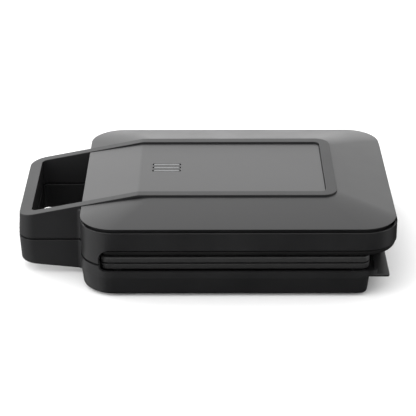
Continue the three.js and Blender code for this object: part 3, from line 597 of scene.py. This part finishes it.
def band_top(y):
    """Top of the handle band: level, then falling away, with a soft fold."""
    ahead = FOLD - y
    soft = 1.2
    if ahead < -soft:
        return BAND_Z
    if ahead > soft:
        return BAND_Z - BAND_SLOPE * ahead
    return BAND_Z - BAND_SLOPE * (ahead + soft) ** 2 / (4 * soft)


def cover_height(y):
    """Top of the lid cover along the band."""
    return TOP - max(0, FOLD - y) * (TOP - SHOULDER) / (FOLD - FRONT) + 0.1


def band_bottom(y):
    """The band lies on the cover, and ahead of the lid it reaches down to the seam."""
    return cover_height(y) if y > FRONT + 0.1 else upper_low.z + SEAM_ROOM


def hollow_top(y):
    """The roof of the hollow in the handle. Over the lid there is none."""
    return band_bottom(y) if y > FRONT - 3 else band_top(y) - 2.6


# %% [markdown]
# The loop needs an outer and an inner outline with the same number of points. Where the arms
# reach the lid, the outer one flares in a small hollow curve, which stiffens the joint.

# %% Handle outlines
FILLET = 5.0
arm_marks = [FRONT - 37, FRONT - 25, FRONT - 12, FRONT - 6, FRONT - 5, FRONT - 4.2, FRONT - 3.4,
             FRONT - 2.6, FRONT - 1.9, FRONT - 1.2, FRONT - 0.6, FRONT, FRONT + 0.2,
             FRONT + 10, FRONT + 25, FOLD - 3, FOLD - 1.2, FOLD - 0.6, FOLD, FOLD + 0.6,
             FOLD + 1.2, FOLD + 3, FOLD + 40, FOLD + 80]
BAND_WIDTH = 8.7
BAR_DEPTH = 12
ARM_HALF = upper_high.x - 3.1
ARM_DRAFT = 0.7
HANDLE_CORNER = 14
HOLE_HALF = TOP_HALF - BAND_WIDTH
hole_outline = whole(half_outline(HOLE_HALF, HANDLE_FRONT + BAR_DEPTH, BAND_REAR - 9.5, 5, 5, 12,
                                  side=arm_marks))


def flare(y):
    """How far the fillet stands out beside the arm."""
    reach = y - (FRONT - FILLET)
    if reach < 0 or y > FRONT + 0.1:
        return 0.0
    return FILLET - sqrt(max(0, FILLET ** 2 - min(reach, FILLET) ** 2))


def handle_ring(inset, height, with_fillet=True):
    """The loop's outer outline at one height, leaning back with height."""
    spots = []
    level = height(HANDLE_FRONT + 8) if callable(height) else height
    share = abs(level - HANDLE_SEAM) / (BAND_Z - HANDLE_SEAM)
    outline = half_outline(ARM_HALF - ARM_DRAFT * share, HANDLE_FRONT + LEAN * share, BAND_REAR,
                           HANDLE_CORNER, 13, 12, side=arm_marks)
    for x, y, nx, ny in whole(outline):
        out = flare(y) * (1 if x > 0 else -1) if with_fillet else 0
        back = inset(y) if callable(inset) else inset
        spots.append((x - back * nx + out, y - back * ny))
    return [(x, y, height(y) if callable(height) else height) for x, y in spots]


print("handle: arm half width", round(ARM_HALF, 1), "hole half width", HOLE_HALF)

# %% [markdown]
# The section's rings follow, from the foot of the outer side to the hollow underneath. Four
# short steps of a quarter circle round each top edge. Over the lid the side leans in a little
# towards its foot, so a shadow line shows there. A bevel could round the edges too, but it
# would also round the foot, which has to stay sharp against the lid.

# %% Upper handle
FILLET_TOP = 60.5
EDGE = 0.4


def below_top(lift, ceiling=1000.0):
    """A height measured down from the band's top, never above a ceiling."""
    return lambda y: max(min(ceiling, band_top(y) - lift), band_bottom(y))


def undercut(y):
    """Over the lid the band's side leans in towards its foot, which draws the line under it."""
    return 0.8 if y > FRONT + 4 else 0.0


handle_rings = [
    handle_ring(lambda y: undercut(y) + 0.15, band_bottom),
    handle_ring(undercut, lambda y: min(band_bottom(y) + 0.15, band_top(y) - EDGE)),
    handle_ring(0.0, below_top(EDGE + 0.3, FILLET_TOP)),
    handle_ring(0.0, below_top(EDGE + 0.1, FILLET_TOP + 1.4), with_fillet=False),
    *[handle_ring(EDGE * (1 - cos(a)), below_top(EDGE * (1 - sin(a))), with_fillet=False)
      for a in (0, pi / 6, pi / 3, pi / 2)],
    *[ring(hole_outline, -EDGE * (1 - cos(a)), below_top(EDGE * (1 - sin(a))))
      for a in (pi / 2, pi / 3, pi / 6, 0)],
    ring(hole_outline, 0, lambda y: min(band_bottom(y) + 0.15, band_top(y) - EDGE)),
    ring(hole_outline, -0.15, band_bottom),
    ring(hole_outline, -2.6, band_bottom),
    ring(hole_outline, -2.6, hollow_top),
    handle_ring(2.6, hollow_top, with_fillet=False),
    handle_ring(2.6, band_bottom, with_fillet=False),
]
upper_handle = loft("handle_and_band", handle_rings, ends="joined")
dress(upper_handle, handle_abs, "handle", "lid", "upper_handle")

# %% [markdown]
# ## The lower half of the handle
#
# It mirrors the upper half as far as the body: a bar and two arms that stop at the base. Its
# underside rises towards the front, and the front edge is well rounded where fingers go. An
# open outline, from one arm's end round the bar to the other, is swept in the same way.

# %% Lower handle
UNDER_REAR = 4.1
UNDER_FRONT = 9.9
under_marks = [m for m in arm_marks if m < FRONT - 0.3] + [FRONT - 0.3]


def under(y):
    """The handle's underside."""
    share = min(1, max(0, (FRONT - y) / (FRONT - HANDLE_FRONT)))
    return UNDER_REAR + (UNDER_FRONT - UNDER_REAR) * share


def open_half(half, front, radius):
    """From the arm's end at the body, round the front corner, to the middle of the bar."""
    points = [(half, y, 1.0, 0.0) for y in reversed(under_marks) if y > HANDLE_FRONT + 17.5]
    for step in range(13):
        angle = -pi / 2 * step / 12
        points.append((half - radius + radius * cos(angle), front + radius + radius * sin(angle),
                       cos(angle), sin(angle)))
    return points


def both_arms(half, front, radius):
    """The open outline from the right arm's end to the left one's."""
    right = open_half(half, front, radius)
    return right + [(-x, y, -nx, ny) for x, y, nx, ny in reversed(right)]


def lower_ring(inset, height, with_fillet=True):
    """The outer outline at one height."""
    level = height(HANDLE_FRONT + 8) if callable(height) else height
    share = abs(level - HANDLE_SEAM) / (BAND_Z - HANDLE_SEAM)
    spots = []
    outline = both_arms(ARM_HALF - ARM_DRAFT * share, HANDLE_FRONT + LEAN * share, HANDLE_CORNER)
    for x, y, nx, ny in outline:
        out = flare(y) * (1 if x > 0 else -1) if with_fillet else 0
        spots.append((x - inset * nx + out, y - inset * ny))
    return [(x, y, height(y) if callable(height) else height) for x, y in spots]


def hole_ring(inset, height):
    """The inner outline at one height."""
    outline = both_arms(HOLE_HALF, HANDLE_FRONT + BAR_DEPTH, 5)
    return ring(outline, inset, height)


def swept(name, rings):
    """A sweep whose section is closed and whose two ends are capped."""
    count, levels = len(rings[0]), len(rings)
    points = [point for each in rings for point in each]
    faces = []
    for level in range(levels):
        after = (level + 1) % levels
        for i in range(count - 1):
            faces.append((level * count + i, after * count + i, after * count + i + 1,
                          level * count + i + 1))
    faces.append([level * count for level in reversed(range(levels))])
    faces.append([level * count + count - 1 for level in range(levels)])
    return mesh_piece(name, points, faces)


handle_top = lower_high.z - SEAM_ROOM
turns = (pi / 2, pi / 3, pi / 6, 0)


def tongue(y):
    """A thin rib behind the seam, which darkens it. It ends just below the upper half."""
    return handle_top + 1.6 if y < FRONT - 5 else handle_top


lower_rings = [
    lower_ring(1.2, under, with_fillet=False),
    *[lower_ring(1.2 * (1 - cos(a)), lambda y, a=a: under(y) + 1.6 * (1 - sin(a)))
      for a in turns[1:]],
    lower_ring(0, handle_top - 0.15),
    lower_ring(0.15, handle_top),
    lower_ring(2.8, handle_top, with_fillet=False),
    lower_ring(2.8, tongue, with_fillet=False),
    lower_ring(3.7, tongue, with_fillet=False),
    lower_ring(3.7, lambda y: under(y) + 2.6, with_fillet=False),
    hole_ring(-3.7, lambda y: under(y) + 2.6),
    hole_ring(-3.7, tongue),
    hole_ring(-2.8, tongue),
    hole_ring(-2.8, handle_top),
    hole_ring(-0.15, handle_top),
    hole_ring(0, handle_top - 0.15),
    hole_ring(0, lambda y: under(y) + 1.0),
    hole_ring(-0.3, lambda y: under(y) + 0.3),
    hole_ring(-1.0, under),
]
lower_handle = swept("lower_handle_shell", lower_rings)
dress(lower_handle, handle_abs, "handle", "base", "lower_handle")

# %% [markdown]
# ## Copies in rows, with Geometry Nodes
#
# Slots, lamp bars, vents, feet and the pegs of the waffle pattern all repeat on a grid. One
# small Geometry Nodes tree does this: it takes the object it sits on as one copy, places it
# on the points of a grid, makes the copies real and gives them their material. Its sizes are
# named inputs, and each modifier sets them by the input's identifier.

# %% Tree for copies in rows
def rows_tree():
    """Copies of the object's own mesh on a grid."""
    tree = bpy.data.node_groups.new("copies in rows", "GeometryNodeTree")
    face = tree.interface
    face.new_socket("Copy", in_out="INPUT", socket_type="NodeSocketGeometry")
    for title, kind in (("Columns", "NodeSocketInt"), ("Rows", "NodeSocketInt"),
                        ("Column pitch", "NodeSocketFloat"), ("Row pitch", "NodeSocketFloat"),
                        ("Centre", "NodeSocketVector"), ("Finish", "NodeSocketMaterial")):
        face.new_socket(title, in_out="INPUT", socket_type=kind)
    face.new_socket("Copies", in_out="OUTPUT", socket_type="NodeSocketGeometry")
    start = add(tree, "NodeGroupInput").outputs
    counts = [add(tree, "ShaderNodeMath", {1: 1.0}, {0: start[n]}, operation="SUBTRACT").outputs[0]
              for n in ("Columns", "Rows")]
    spans = [add(tree, "ShaderNodeMath", links={0: count, 1: start[n]},
                 operation="MULTIPLY").outputs[0]
             for count, n in zip(counts, ("Column pitch", "Row pitch"))]
    grid = add(tree, "GeometryNodeMeshGrid", links={
        "Size X": spans[0], "Size Y": spans[1], "Vertices X": start["Columns"],
        "Vertices Y": start["Rows"]})
    placed = add(tree, "GeometryNodeInstanceOnPoints", links={
        "Points": grid.outputs["Mesh"], "Instance": start["Copy"]})
    moved = add(tree, "GeometryNodeTransform", links={
        "Geometry": placed.outputs["Instances"], "Translation": start["Centre"]})
    real = add(tree, "GeometryNodeRealizeInstances", links={"Geometry": moved.outputs["Geometry"]})
    done = add(tree, "GeometryNodeSetMaterial", links={
        "Geometry": real.outputs["Geometry"], "Material": start["Finish"]})
    add(tree, "NodeGroupOutput", links={"Copies": done.outputs["Geometry"]})
    return tree


rows = rows_tree()
sockets = {item.name: item.identifier for item in rows.interface.items_tree
           if item.in_out == "INPUT"}


def in_rows(piece, columns, lines, column_pitch, line_pitch, centre, finish):
    """Sets the tree's inputs on a piece, in millimetres, and keeps the copies as a mesh."""
    step = piece.modifiers.new("copies in rows", "NODES")
    step.node_group = rows
    step[sockets["Columns"]] = columns
    step[sockets["Rows"]] = lines
    step[sockets["Column pitch"]] = column_pitch / 1000
    step[sockets["Row pitch"]] = line_pitch / 1000
    step[sockets["Centre"]] = [c / 1000 for c in centre]
    step[sockets["Finish"]] = finish
    return settle(piece)


print("copies in rows takes:", sorted(sockets))

# %% [markdown]
# ## The top panel and its three lamp slots
#
# The panel is a thin sheet that lies in the frame of the band and follows the same fold. Three
# slots are cut through it for the lamp bars. One cutter bar is made, the grid tree makes
# three of it, and a boolean takes them out of the panel.

# %% Top panel
PANEL_Z = BAND_Z - 1.6
PANEL_SLOPE = (PANEL_Z - SHOULDER - 0.1) / (FOLD - FRONT)


def panel_top(y):
    """The panel's face, with the same soft fold as the band."""
    ahead = FOLD - y
    soft = 1.2
    if ahead < -soft:
        return PANEL_Z
    if ahead > soft:
        return PANEL_Z - PANEL_SLOPE * ahead
    return PANEL_Z - PANEL_SLOPE * (ahead + soft) ** 2 / (4 * soft)


LAMP_Y = FOLD + 23.5
LAMP_PITCH = 6.7
LAMP_COUNT = 3
LAMP_SUNK = 0.15
LAMP_SHIFT = -0.45
panel_outline = whole(half_outline(HOLE_HALF - 0.3, panel_low.y, BAND_REAR - 9.8, 1, 4.7, 8,
                                   side=[m for m in arm_marks if abs(m - FOLD) < 2]))
panel = loft("top_panel_sheet", rounded(panel_outline, lambda y: panel_top(y) - 1.8, panel_top,
                                        0.3, 0.35))


def bar(name, half, length, low, high, radius, edge):
    """A bar with round ends along Y, for a slot or a lamp."""
    outline = whole(half_outline(half, -length / 2, length / 2, radius, radius, 8))
    return loft(name, rounded(outline, low, high, edge, edge))


cutters = in_rows(bar("slot cutter", 1.9, 25.4, -4, 4, 1.2, 0.1), LAMP_COUNT, 1, LAMP_PITCH, 0,
                  (0, LAMP_Y, PANEL_Z), panel_abs)
combine(panel, cutters)
soften(panel, 0.2, segments=2, angle=50)
dress(panel, panel_abs, "panel", "lid", "top_panel")

# %% [markdown]
# The lens fills the slots with three bars, each a little smaller than its slot and just below
# the panel's face. They come from the same bar function and the same grid as the cutters, so
# slots and bars can't drift apart.

# %% Lamp bars
bars = in_rows(bar("lamp_bars", 1.25, 23.0, -2.9, 0, 1.1, 0.2), LAMP_COUNT, 1, LAMP_PITCH, 0,
               (LAMP_SHIFT, LAMP_Y, PANEL_Z - LAMP_SUNK), lens)
dress(bars, lens, "lens", "lid", "indicator_lens")
print("slots:", LAMP_COUNT, "at a pitch of", LAMP_PITCH, "mm")

# %% [markdown]
# ## The base
#
# The base is a tub with a slight draft, so that it comes out of its mould, and a round at its
# bottom. Behind the hinge line its wall steps back to a low kerb round the plates. The tub is
# a sheet again, thickened and bevelled, with its deck and the hinge shelf as slabs.

# %% Base wall
RIM = 24.3
DECK = 20.8
DECK_THICK = 2.2
BASE_REAR = REAR - 22.7
KERB_REAR = plate_high.y + 6.8
base_marks = [SLOT + d for d in (-0.2, 0, 0.3, 0.9, 1.7, 2.7, 3.8, 5.4)]
low_outline = whole(half_outline(HALF, housing_low.y, BASE_REAR, CORNER, 9, 14, base_marks))
rim_outline = whole(half_outline(HALF, housing_low.y, KERB_REAR, CORNER, 9, 14, base_marks))


def base_edge(y):
    """Top of the base wall: the seam at the front, the low rim along the slot."""
    base_top = housing_high.z - SEAM_ROOM
    round_end = base_top - RIM
    reach = y - SLOT
    if reach <= 0:
        return base_top
    if reach >= round_end:
        return RIM
    return RIM + round_end - sqrt(round_end ** 2 - (round_end - reach) ** 2)


foot_z = housing_low.z
base_rows = [
    ring(low_outline, 3.4, foot_z),
    ring(low_outline, 2.75, foot_z + 0.2),
    ring(low_outline, 2.2, foot_z + 0.65),
    ring(low_outline, 1.85, foot_z + 1.2),
    ring(low_outline, 1.6, foot_z + 2.0),
    ring(low_outline, 0.1, DECK - 3.2),
    ring(low_outline, 0, DECK - 2.6),
    ring(low_outline, 0, DECK - 2.2),
    ring(rim_outline, 0, DECK - 0.4),
    ring(rim_outline, 0, lambda y: min(base_edge(y), RIM) - 0.6),
    ring(rim_outline, 0, base_edge),
]
base_wall = thick_wall("base_tub_wall", base_rows, SKIN, 0.3)
dress(base_wall, shell_abs, "shell", "base", "base_housing")

# %% [markdown]
# ## A rib behind the front seam
#
# A thin rib stands up from the tub just inside the lid wall. The working part has no such rib.
# It was added because a pale spot at the seam's end was taken for a gap. That spot is mostly
# the rear card's reflection, which the rib doesn't remove, and from the front the rib makes the
# seam fainter. It follows the inner one of the tub's and the lid wall's outlines, with a
# clearance, so that it doesn't cut into the lid wall. This cell can be left out.

# %% Front seam rib
RIB_ROOM = 0.4
RIB_THICKNESS = 1.0
RIB_TOP = SEAM_Z + 1.3
rib_half = [p for p in half_outline(min(HALF, wall_high.x), max(housing_low.y, wall_low.y),
                                    KERB_REAR, CORNER, 9, 14, base_marks) if p[1] < SLOT][::-1]
rib_path = rib_half + [(-x, y, -nx, ny) for x, y, nx, ny in reversed(rib_half)]
rib_out = SKIN + RIB_ROOM
rib_in = rib_out + RIB_THICKNESS
seam_rib = swept("front_seam_rib", [
    ring(rib_path, rib_out, RIM), ring(rib_path, rib_out, RIB_TOP),
    ring(rib_path, rib_in, RIB_TOP), ring(rib_path, rib_in, RIM)])
dress(seam_rib, shell_abs, "shell", "base")

# %% [markdown]
# The deck closes the tub round the lower plate, and the shelf behind it carries the hinges.
# Both are flat slabs, lofted between outlines, because a slab needs no modifier.

# %% Base deck and hinge shelf
deck_edge = whole(half_outline(HALF - 1.2, housing_low.y + 1.2, BASE_REAR + 1, 28, 8, 14))
opening = whole(half_outline(plate_high.x - 9.5, plate_low.y + 9.5, plate_high.y - 9.5, 3, 3, 14))
base_deck = loft("base_deck", [
    ring(opening, 0, DECK - DECK_THICK), ring(deck_edge, 0, DECK - DECK_THICK),
    ring(deck_edge, 0, DECK), ring(opening, 0, DECK)], ends="joined")
dress(base_deck, shell_abs, "shell", "base")

shelf_outline = whole(half_outline(HALF - 2.2, BASE_REAR - 12, housing_high.y, 1, 2.2, 8))
SHELF_LIFT = 0.02
shelf = loft("hinge_shelf", rounded(shelf_outline, DECK - DECK_THICK + SHELF_LIFT,
                                    DECK + SHELF_LIFT, 0.5, 0.35))
dress(shelf, shell_abs, "shell", "base")

# %% [markdown]
# ## The underside
#
# A flat cover closes the tub from below. Vents are cut through it under the heater, in the
# same way as the lamp slots, and four rubber feet stand in its corners.

# %% Bottom cover and feet
bottom_low, bottom_high = corners("bottom_cover")
bottom_outline = whole(half_outline(bottom_high.x, bottom_low.y, bottom_high.y, 25, 5, 14))
bottom = loft("bottom_cover_sheet", rounded(bottom_outline, bottom_low.z, bottom_high.z, 0.3, 0.3))
vent = bar("vent cutter", 2.0, 52, -6, 6, 1.9, 0.1)
for point in vent.data.vertices:
    point.co.x, point.co.y = -point.co.y, point.co.x
vents = in_rows(vent, 1, 5, 0, 12, (0, 27.6, bottom_low.z), shell_abs)
combine(bottom, vents)
soften(bottom, 0.25, segments=2, angle=50)
dress(bottom, shell_abs, "shell", "base", "bottom_cover")

foot_low, foot_high = corners("rubber_foot_1")
foot_4_low, foot_4_high = corners("rubber_foot_4")
foot_at = (foot_low + foot_high) / 2
foot_4_at = (foot_4_low + foot_4_high) / 2


def disc_outline(radius, steps=8):
    """A circle as a rounded square whose corners meet."""
    return whole(half_outline(radius, -radius, radius, radius, radius, steps))


foot = loft("rubber_feet", [
    ring(disc_outline(radius), 0, z) for radius, z in (
        (2.2, 1.1), (2.7, 0.35), (3.4, 0.0), (6.1, 0.0), (6.7, 0.25), (6.9, 0.8), (7.0, 2.4))])
feet = in_rows(foot, 2, 2, 2 * abs(foot_at.x), foot_4_at.y - foot_at.y,
               (0, (foot_at.y + foot_4_at.y) / 2, 0), rubber)
dress(feet, rubber, "rubber", "base", *[f"rubber_foot_{i}" for i in (1, 2, 3, 4)])

# %% [markdown]
# ## The cooking plates
#
# Each plate is a casting with a thin rim and four wells, and each well has a grid of pegs
# that press the pattern into a waffle. The rim is a rounded slab. Four hollow wells are cut
# into it, and their edges are rounded, as cast edges are. One peg is modelled, and the grid
# tree is used twice: for the pegs of a well, and for the wells of a plate.

# %% Plate sizes
WELL_DEPTH = 9.0
RIDGE = 5.0
PEG_GAP = 8.0
field_half = plate_high.x - 14
field_low, field_high = plate_low.y + 14, plate_high.y - 14
well_half = (field_half - RIDGE / 2) / 2
well_long = (field_high - field_low - RIDGE) / 4
well_centre = (field_low + field_high) / 2
plate_top = plate_high.z
print("well, mm:", round(2 * well_half, 1), "x", round(2 * well_long, 1), "x", WELL_DEPTH)


def peg_mesh(name):
    """One waffle peg, wide at its foot and rounded at its top."""
    half_x = ((2 * well_half - PEG_GAP) / 4 - PEG_GAP) / 2 + 1
    half_y = ((2 * well_long - PEG_GAP) / 4 - PEG_GAP) / 2 + 1
    rings = []
    for inset, z in ((-0.9, 0.0), (-0.25, 0.35), (0.15, 1.1), (1.25, 5.9), (1.55, 6.6), (2.2, 7.0)):
        outline = whole(half_outline(half_x, -half_y, half_y, 2.4, 2.4, 4))
        rings.append(ring(outline, inset, z))
    return loft(name, rings)


# %% [markdown]
# The plate is a narrower casting under a wide rim. The rim's edge steps back deeply at the
# parting plane, so two closed plates show a dark line between them. The well cutter widens at
# its top, which rounds each well's edge in the same boolean that cuts it.

# %% Plate maker
RIM_THICK = 5.6


def cooking_plate(name):
    """The lower plate, its face at the parting plane."""
    outline = whole(half_outline(plate_high.x, plate_low.y, plate_high.y, 7, 7, 10))
    casting = whole(half_outline(plate_high.x - 11, plate_low.y + 11, plate_high.y - 11, 3, 3, 10))
    rim = [(4.6, 0.0), (4.5, 0.45), (0.15, 0.5), (0.0, 0.65), (0.0, 4.4), (0.25, 5.0),
           (0.8, 5.45), (1.6, RIM_THICK)]
    rings = [ring(casting, 2, plate_low.z), ring(casting, 0.6, plate_low.z + 2.2),
             ring(casting, 0, plate_low.z + 3), ring(casting, 0, plate_top - RIM_THICK)]
    rings += [ring(outline, inset, plate_top - down) for inset, down in reversed(rim)]
    plate = loft(name, rings)
    well_outline = whole(half_outline(well_half, -well_long, well_long, 6, 6, 8))
    well = loft("well cutter", [
        ring(well_outline, 3.4, -WELL_DEPTH), ring(well_outline, 2.5, -WELL_DEPTH + 0.25),
        ring(well_outline, 2.0, -WELL_DEPTH + 1.0), ring(well_outline, 0.35, -1.0),
        ring(well_outline, 0.05, -0.45), ring(well_outline, -0.35, -0.12),
        ring(well_outline, -0.9, 0.02), ring(well_outline, -0.9, 1.5)])
    wells = in_rows(well, 2, 2, 2 * well_half + RIDGE, 2 * well_long + RIDGE,
                    (0, well_centre, plate_top), coating)
    return combine(plate, wells)


def pegs_of(name):
    """All pegs of a plate."""
    pegs = in_rows(peg_mesh(name), 4, 4, (2 * well_half - PEG_GAP) / 4,
                   (2 * well_long - PEG_GAP) / 4, (0, 0, 0), coating)
    return in_rows(pegs, 2, 2, 2 * well_half + RIDGE, 2 * well_long + RIDGE,
                   (0, well_centre, plate_top - WELL_DEPTH - 0.02), coating)


def over(piece):
    """Turns a lower-plate piece over the parting plane, with its faces outwards again."""
    plane = SEAM_Z / 1000
    for point in piece.data.vertices:
        point.co.z = 2 * plane - point.co.z
    piece.data.flip_normals()
    return piece


# %% [markdown]
# The upper plate is the lower one turned over the parting plane. Making it from the same
# function keeps both patterns in line when the lid is shut.

# %% Both plates
dress(cooking_plate("lower_cooking_plate"), coating, "coating", "base", "lower_plate")
dress(pegs_of("lower_plate_pegs"), coating, "coating", "base")
dress(over(cooking_plate("upper_cooking_plate")), coating, "coating", "lid", "upper_plate")
dress(over(pegs_of("upper_plate_pegs")), coating, "coating", "lid")

# %% [markdown]
# ## Parts that keep their working shape
#
# Hinges, screws, heaters and the other inner parts have the right shape already. They only
# need the finish of the real thing, so their material is exchanged.

# %% Finishes for the inner parts
finish_of = {
    "steel": steel, "element": element, "rubber": rubber, "brass": brass, "ceramic": ceramic,
    "lens": lens, "lamp": lamp_glass, "shell": shell_abs, "handle": handle_abs,
    "panel": panel_abs, "coating": coating, "blackened": blackened,
}
slot_of_node = {
    "lower_heater": "element", "upper_heater": "element", "lower_reflector": "steel",
    "upper_reflector": "steel", "thermostat": "ceramic", "terminal_block": "ceramic",
    "cord_inlet_bush": "rubber", "thermal_fuse": "brass", "lamp_holder": "ceramic",
    "power_lamp": "lamp", "ready_lamp": "lamp",
}
shown = 0
for name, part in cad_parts.items():
    slot = "blackened" if "spacer" in name or "hinge" in name else slot_of_node.get(name, "steel")
    if not part.hide_render:
        part.data.materials.clear()
        part.data.materials.append(finish_of[slot])
        shown += 1
print("parts shown as they are:", shown)

# %% [markdown]
# ## Floor, light and camera
#
# The object stands on a plain pale floor in a bright surround, as in a light tent. Below the
# horizon the surround is dark, so upright walls stay deep black while the top faces shine.
# Above it three gentle gradients shade the white: brighter towards the handle, dimmer towards
# the hinge, and a little brighter high up. A soft glow at each end also reaches below the
# horizon, for the reflections on the rounded corners.

# %% Floor and surround
FLOOR_HALF = 60000
floor_corners = ((-1, -1), (1, -1), (1, 1), (-1, 1))
floor = mesh_piece("floor", [(x * FLOOR_HALF, y * FLOOR_HALF, 0) for x, y in floor_corners],
                   [(0, 1, 2, 3)])
pale = bpy.data.materials.new("pale_floor")
pale.use_nodes = True
pale.node_tree.nodes["Principled BSDF"].inputs["Base Color"].default_value = paint("#ececec")
pale.node_tree.nodes["Principled BSDF"].inputs["Roughness"].default_value = 0.9
pale.node_tree.nodes["Principled BSDF"].inputs["Specular IOR Level"].default_value = 0.1
floor.data.materials.append(pale)
floor.visible_glossy = False

world = bpy.data.worlds.new("light tent")
world.use_nodes = True
bpy.context.scene.world = world
sky = world.node_tree
toward = add(sky, "ShaderNodeTexCoord").outputs["Generated"]
split = add(sky, "ShaderNodeSeparateXYZ", links={"Vector": toward})
side, height = split.outputs["Y"], split.outputs["Z"]
level = add(sky, "ShaderNodeMapRange", {"From Min": -0.03, "From Max": 0.0, "To Min": 0.02,
                                        "To Max": 1.5}, {"Value": height})
shades = [level]
for source, start, end, first, last in ((side, -0.5, -0.12, 1.7, 1.0), (side, 0.05, 0.3, 1.0, 0.8),
                                        (height, 0.4, 0.7, 1.0, 1.15)):
    shades.append(add(sky, "ShaderNodeMapRange", {"From Min": start, "From Max": end,
                                                  "To Min": first, "To Max": last},
                      {"Value": source}))
bright = shades[0]
for shade_node in shades[1:]:
    bright = add(sky, "ShaderNodeMath", links={0: bright.outputs[0], 1: shade_node.outputs[0]},
                 operation="MULTIPLY")
front_glow = add(sky, "ShaderNodeMapRange", {"From Min": -0.5, "From Max": -0.56, "To Min": 0.0,
                                             "To Max": 0.5}, {"Value": side})
rear_glow = add(sky, "ShaderNodeMapRange", {"From Min": 0.86, "From Max": 0.92, "To Min": 0.0,
                                            "To Max": 0.5}, {"Value": side})
glow = add(sky, "ShaderNodeMath", links={0: front_glow.outputs[0], 1: rear_glow.outputs[0]},
           operation="MAXIMUM")
total = add(sky, "ShaderNodeMath", links={0: bright.outputs[0], 1: glow.outputs[0]},
            operation="MAXIMUM")
sky.nodes["Background"].inputs["Color"].default_value = paint("#ffffff")
sky.links.new(total.outputs[0], sky.nodes["Background"].inputs["Strength"])
print("surround:", world.name)

# %% [markdown]
# Three cards show only in reflections, because they light no matt surface. Two stand past the
# handle and the hinge, and a long thin one stands on the far side. The rear card is off
# centre, towards the camera, and in some other views it washes out an edge on one side. The
# camera is turned by a hair about its own line of sight.

# %% Soft lights and camera
CARDS = (
    ("front_card", (0.4, -1.5, 0.1), (0, -0.1, 0.05), 0.6, 0.6, 8),
    ("rear_card", (0.4, 1.6, 0.2), (0, 0.15, 0.05), 0.6, 0.6, 8),
    ("far_card", (-1.5, 0.16, 0.17), (0, 0.05, 0.06), 1.0, 0.16, 1.3),
)
FOCAL_LENGTH = 140.35
CAMERA_AT = (1.3295, 0.002, 0.6612)
CAMERA_AIM = (0, 0.002, 0.0330)
CAMERA_ROLL = -0.0015


def soft_light(name, place, aim, width, height, watts):
    """A rectangular soft light that looks at a point."""
    data = bpy.data.lights.new(name, "AREA")
    data.shape = "RECTANGLE"
    data.size, data.size_y = width, height
    data.energy = watts
    lamp = bpy.data.objects.new(name, data)
    lamp.visible_diffuse = False
    lamp.location = place
    lamp.rotation_euler = (Vector(aim) - Vector(place)).to_track_quat("-Z", "Y").to_euler()
    bpy.context.scene.collection.objects.link(lamp)
    return lamp


for card in CARDS:
    soft_light(*card)

camera = bpy.data.cameras.new("camera")
camera.lens = FOCAL_LENGTH
camera.sensor_width = 36
view = bpy.data.objects.new("camera", camera)
view.location = CAMERA_AT
aim = (Vector(CAMERA_AIM) - view.location).to_track_quat("-Z", "Y")
view.rotation_euler = (aim @ Quaternion((0, 0, 1), CAMERA_ROLL)).to_euler()
bpy.context.scene.collection.objects.link(view)
bpy.context.scene.camera = view
bpy.context.scene.view_settings.view_transform = "Standard"
print("camera at", [round(c, 3) for c in view.location])

# %% [markdown]
# ## Pieces made
#
# The number of finished pieces is printed.

# %% Count of pieces made
print("pieces made:", len(made))
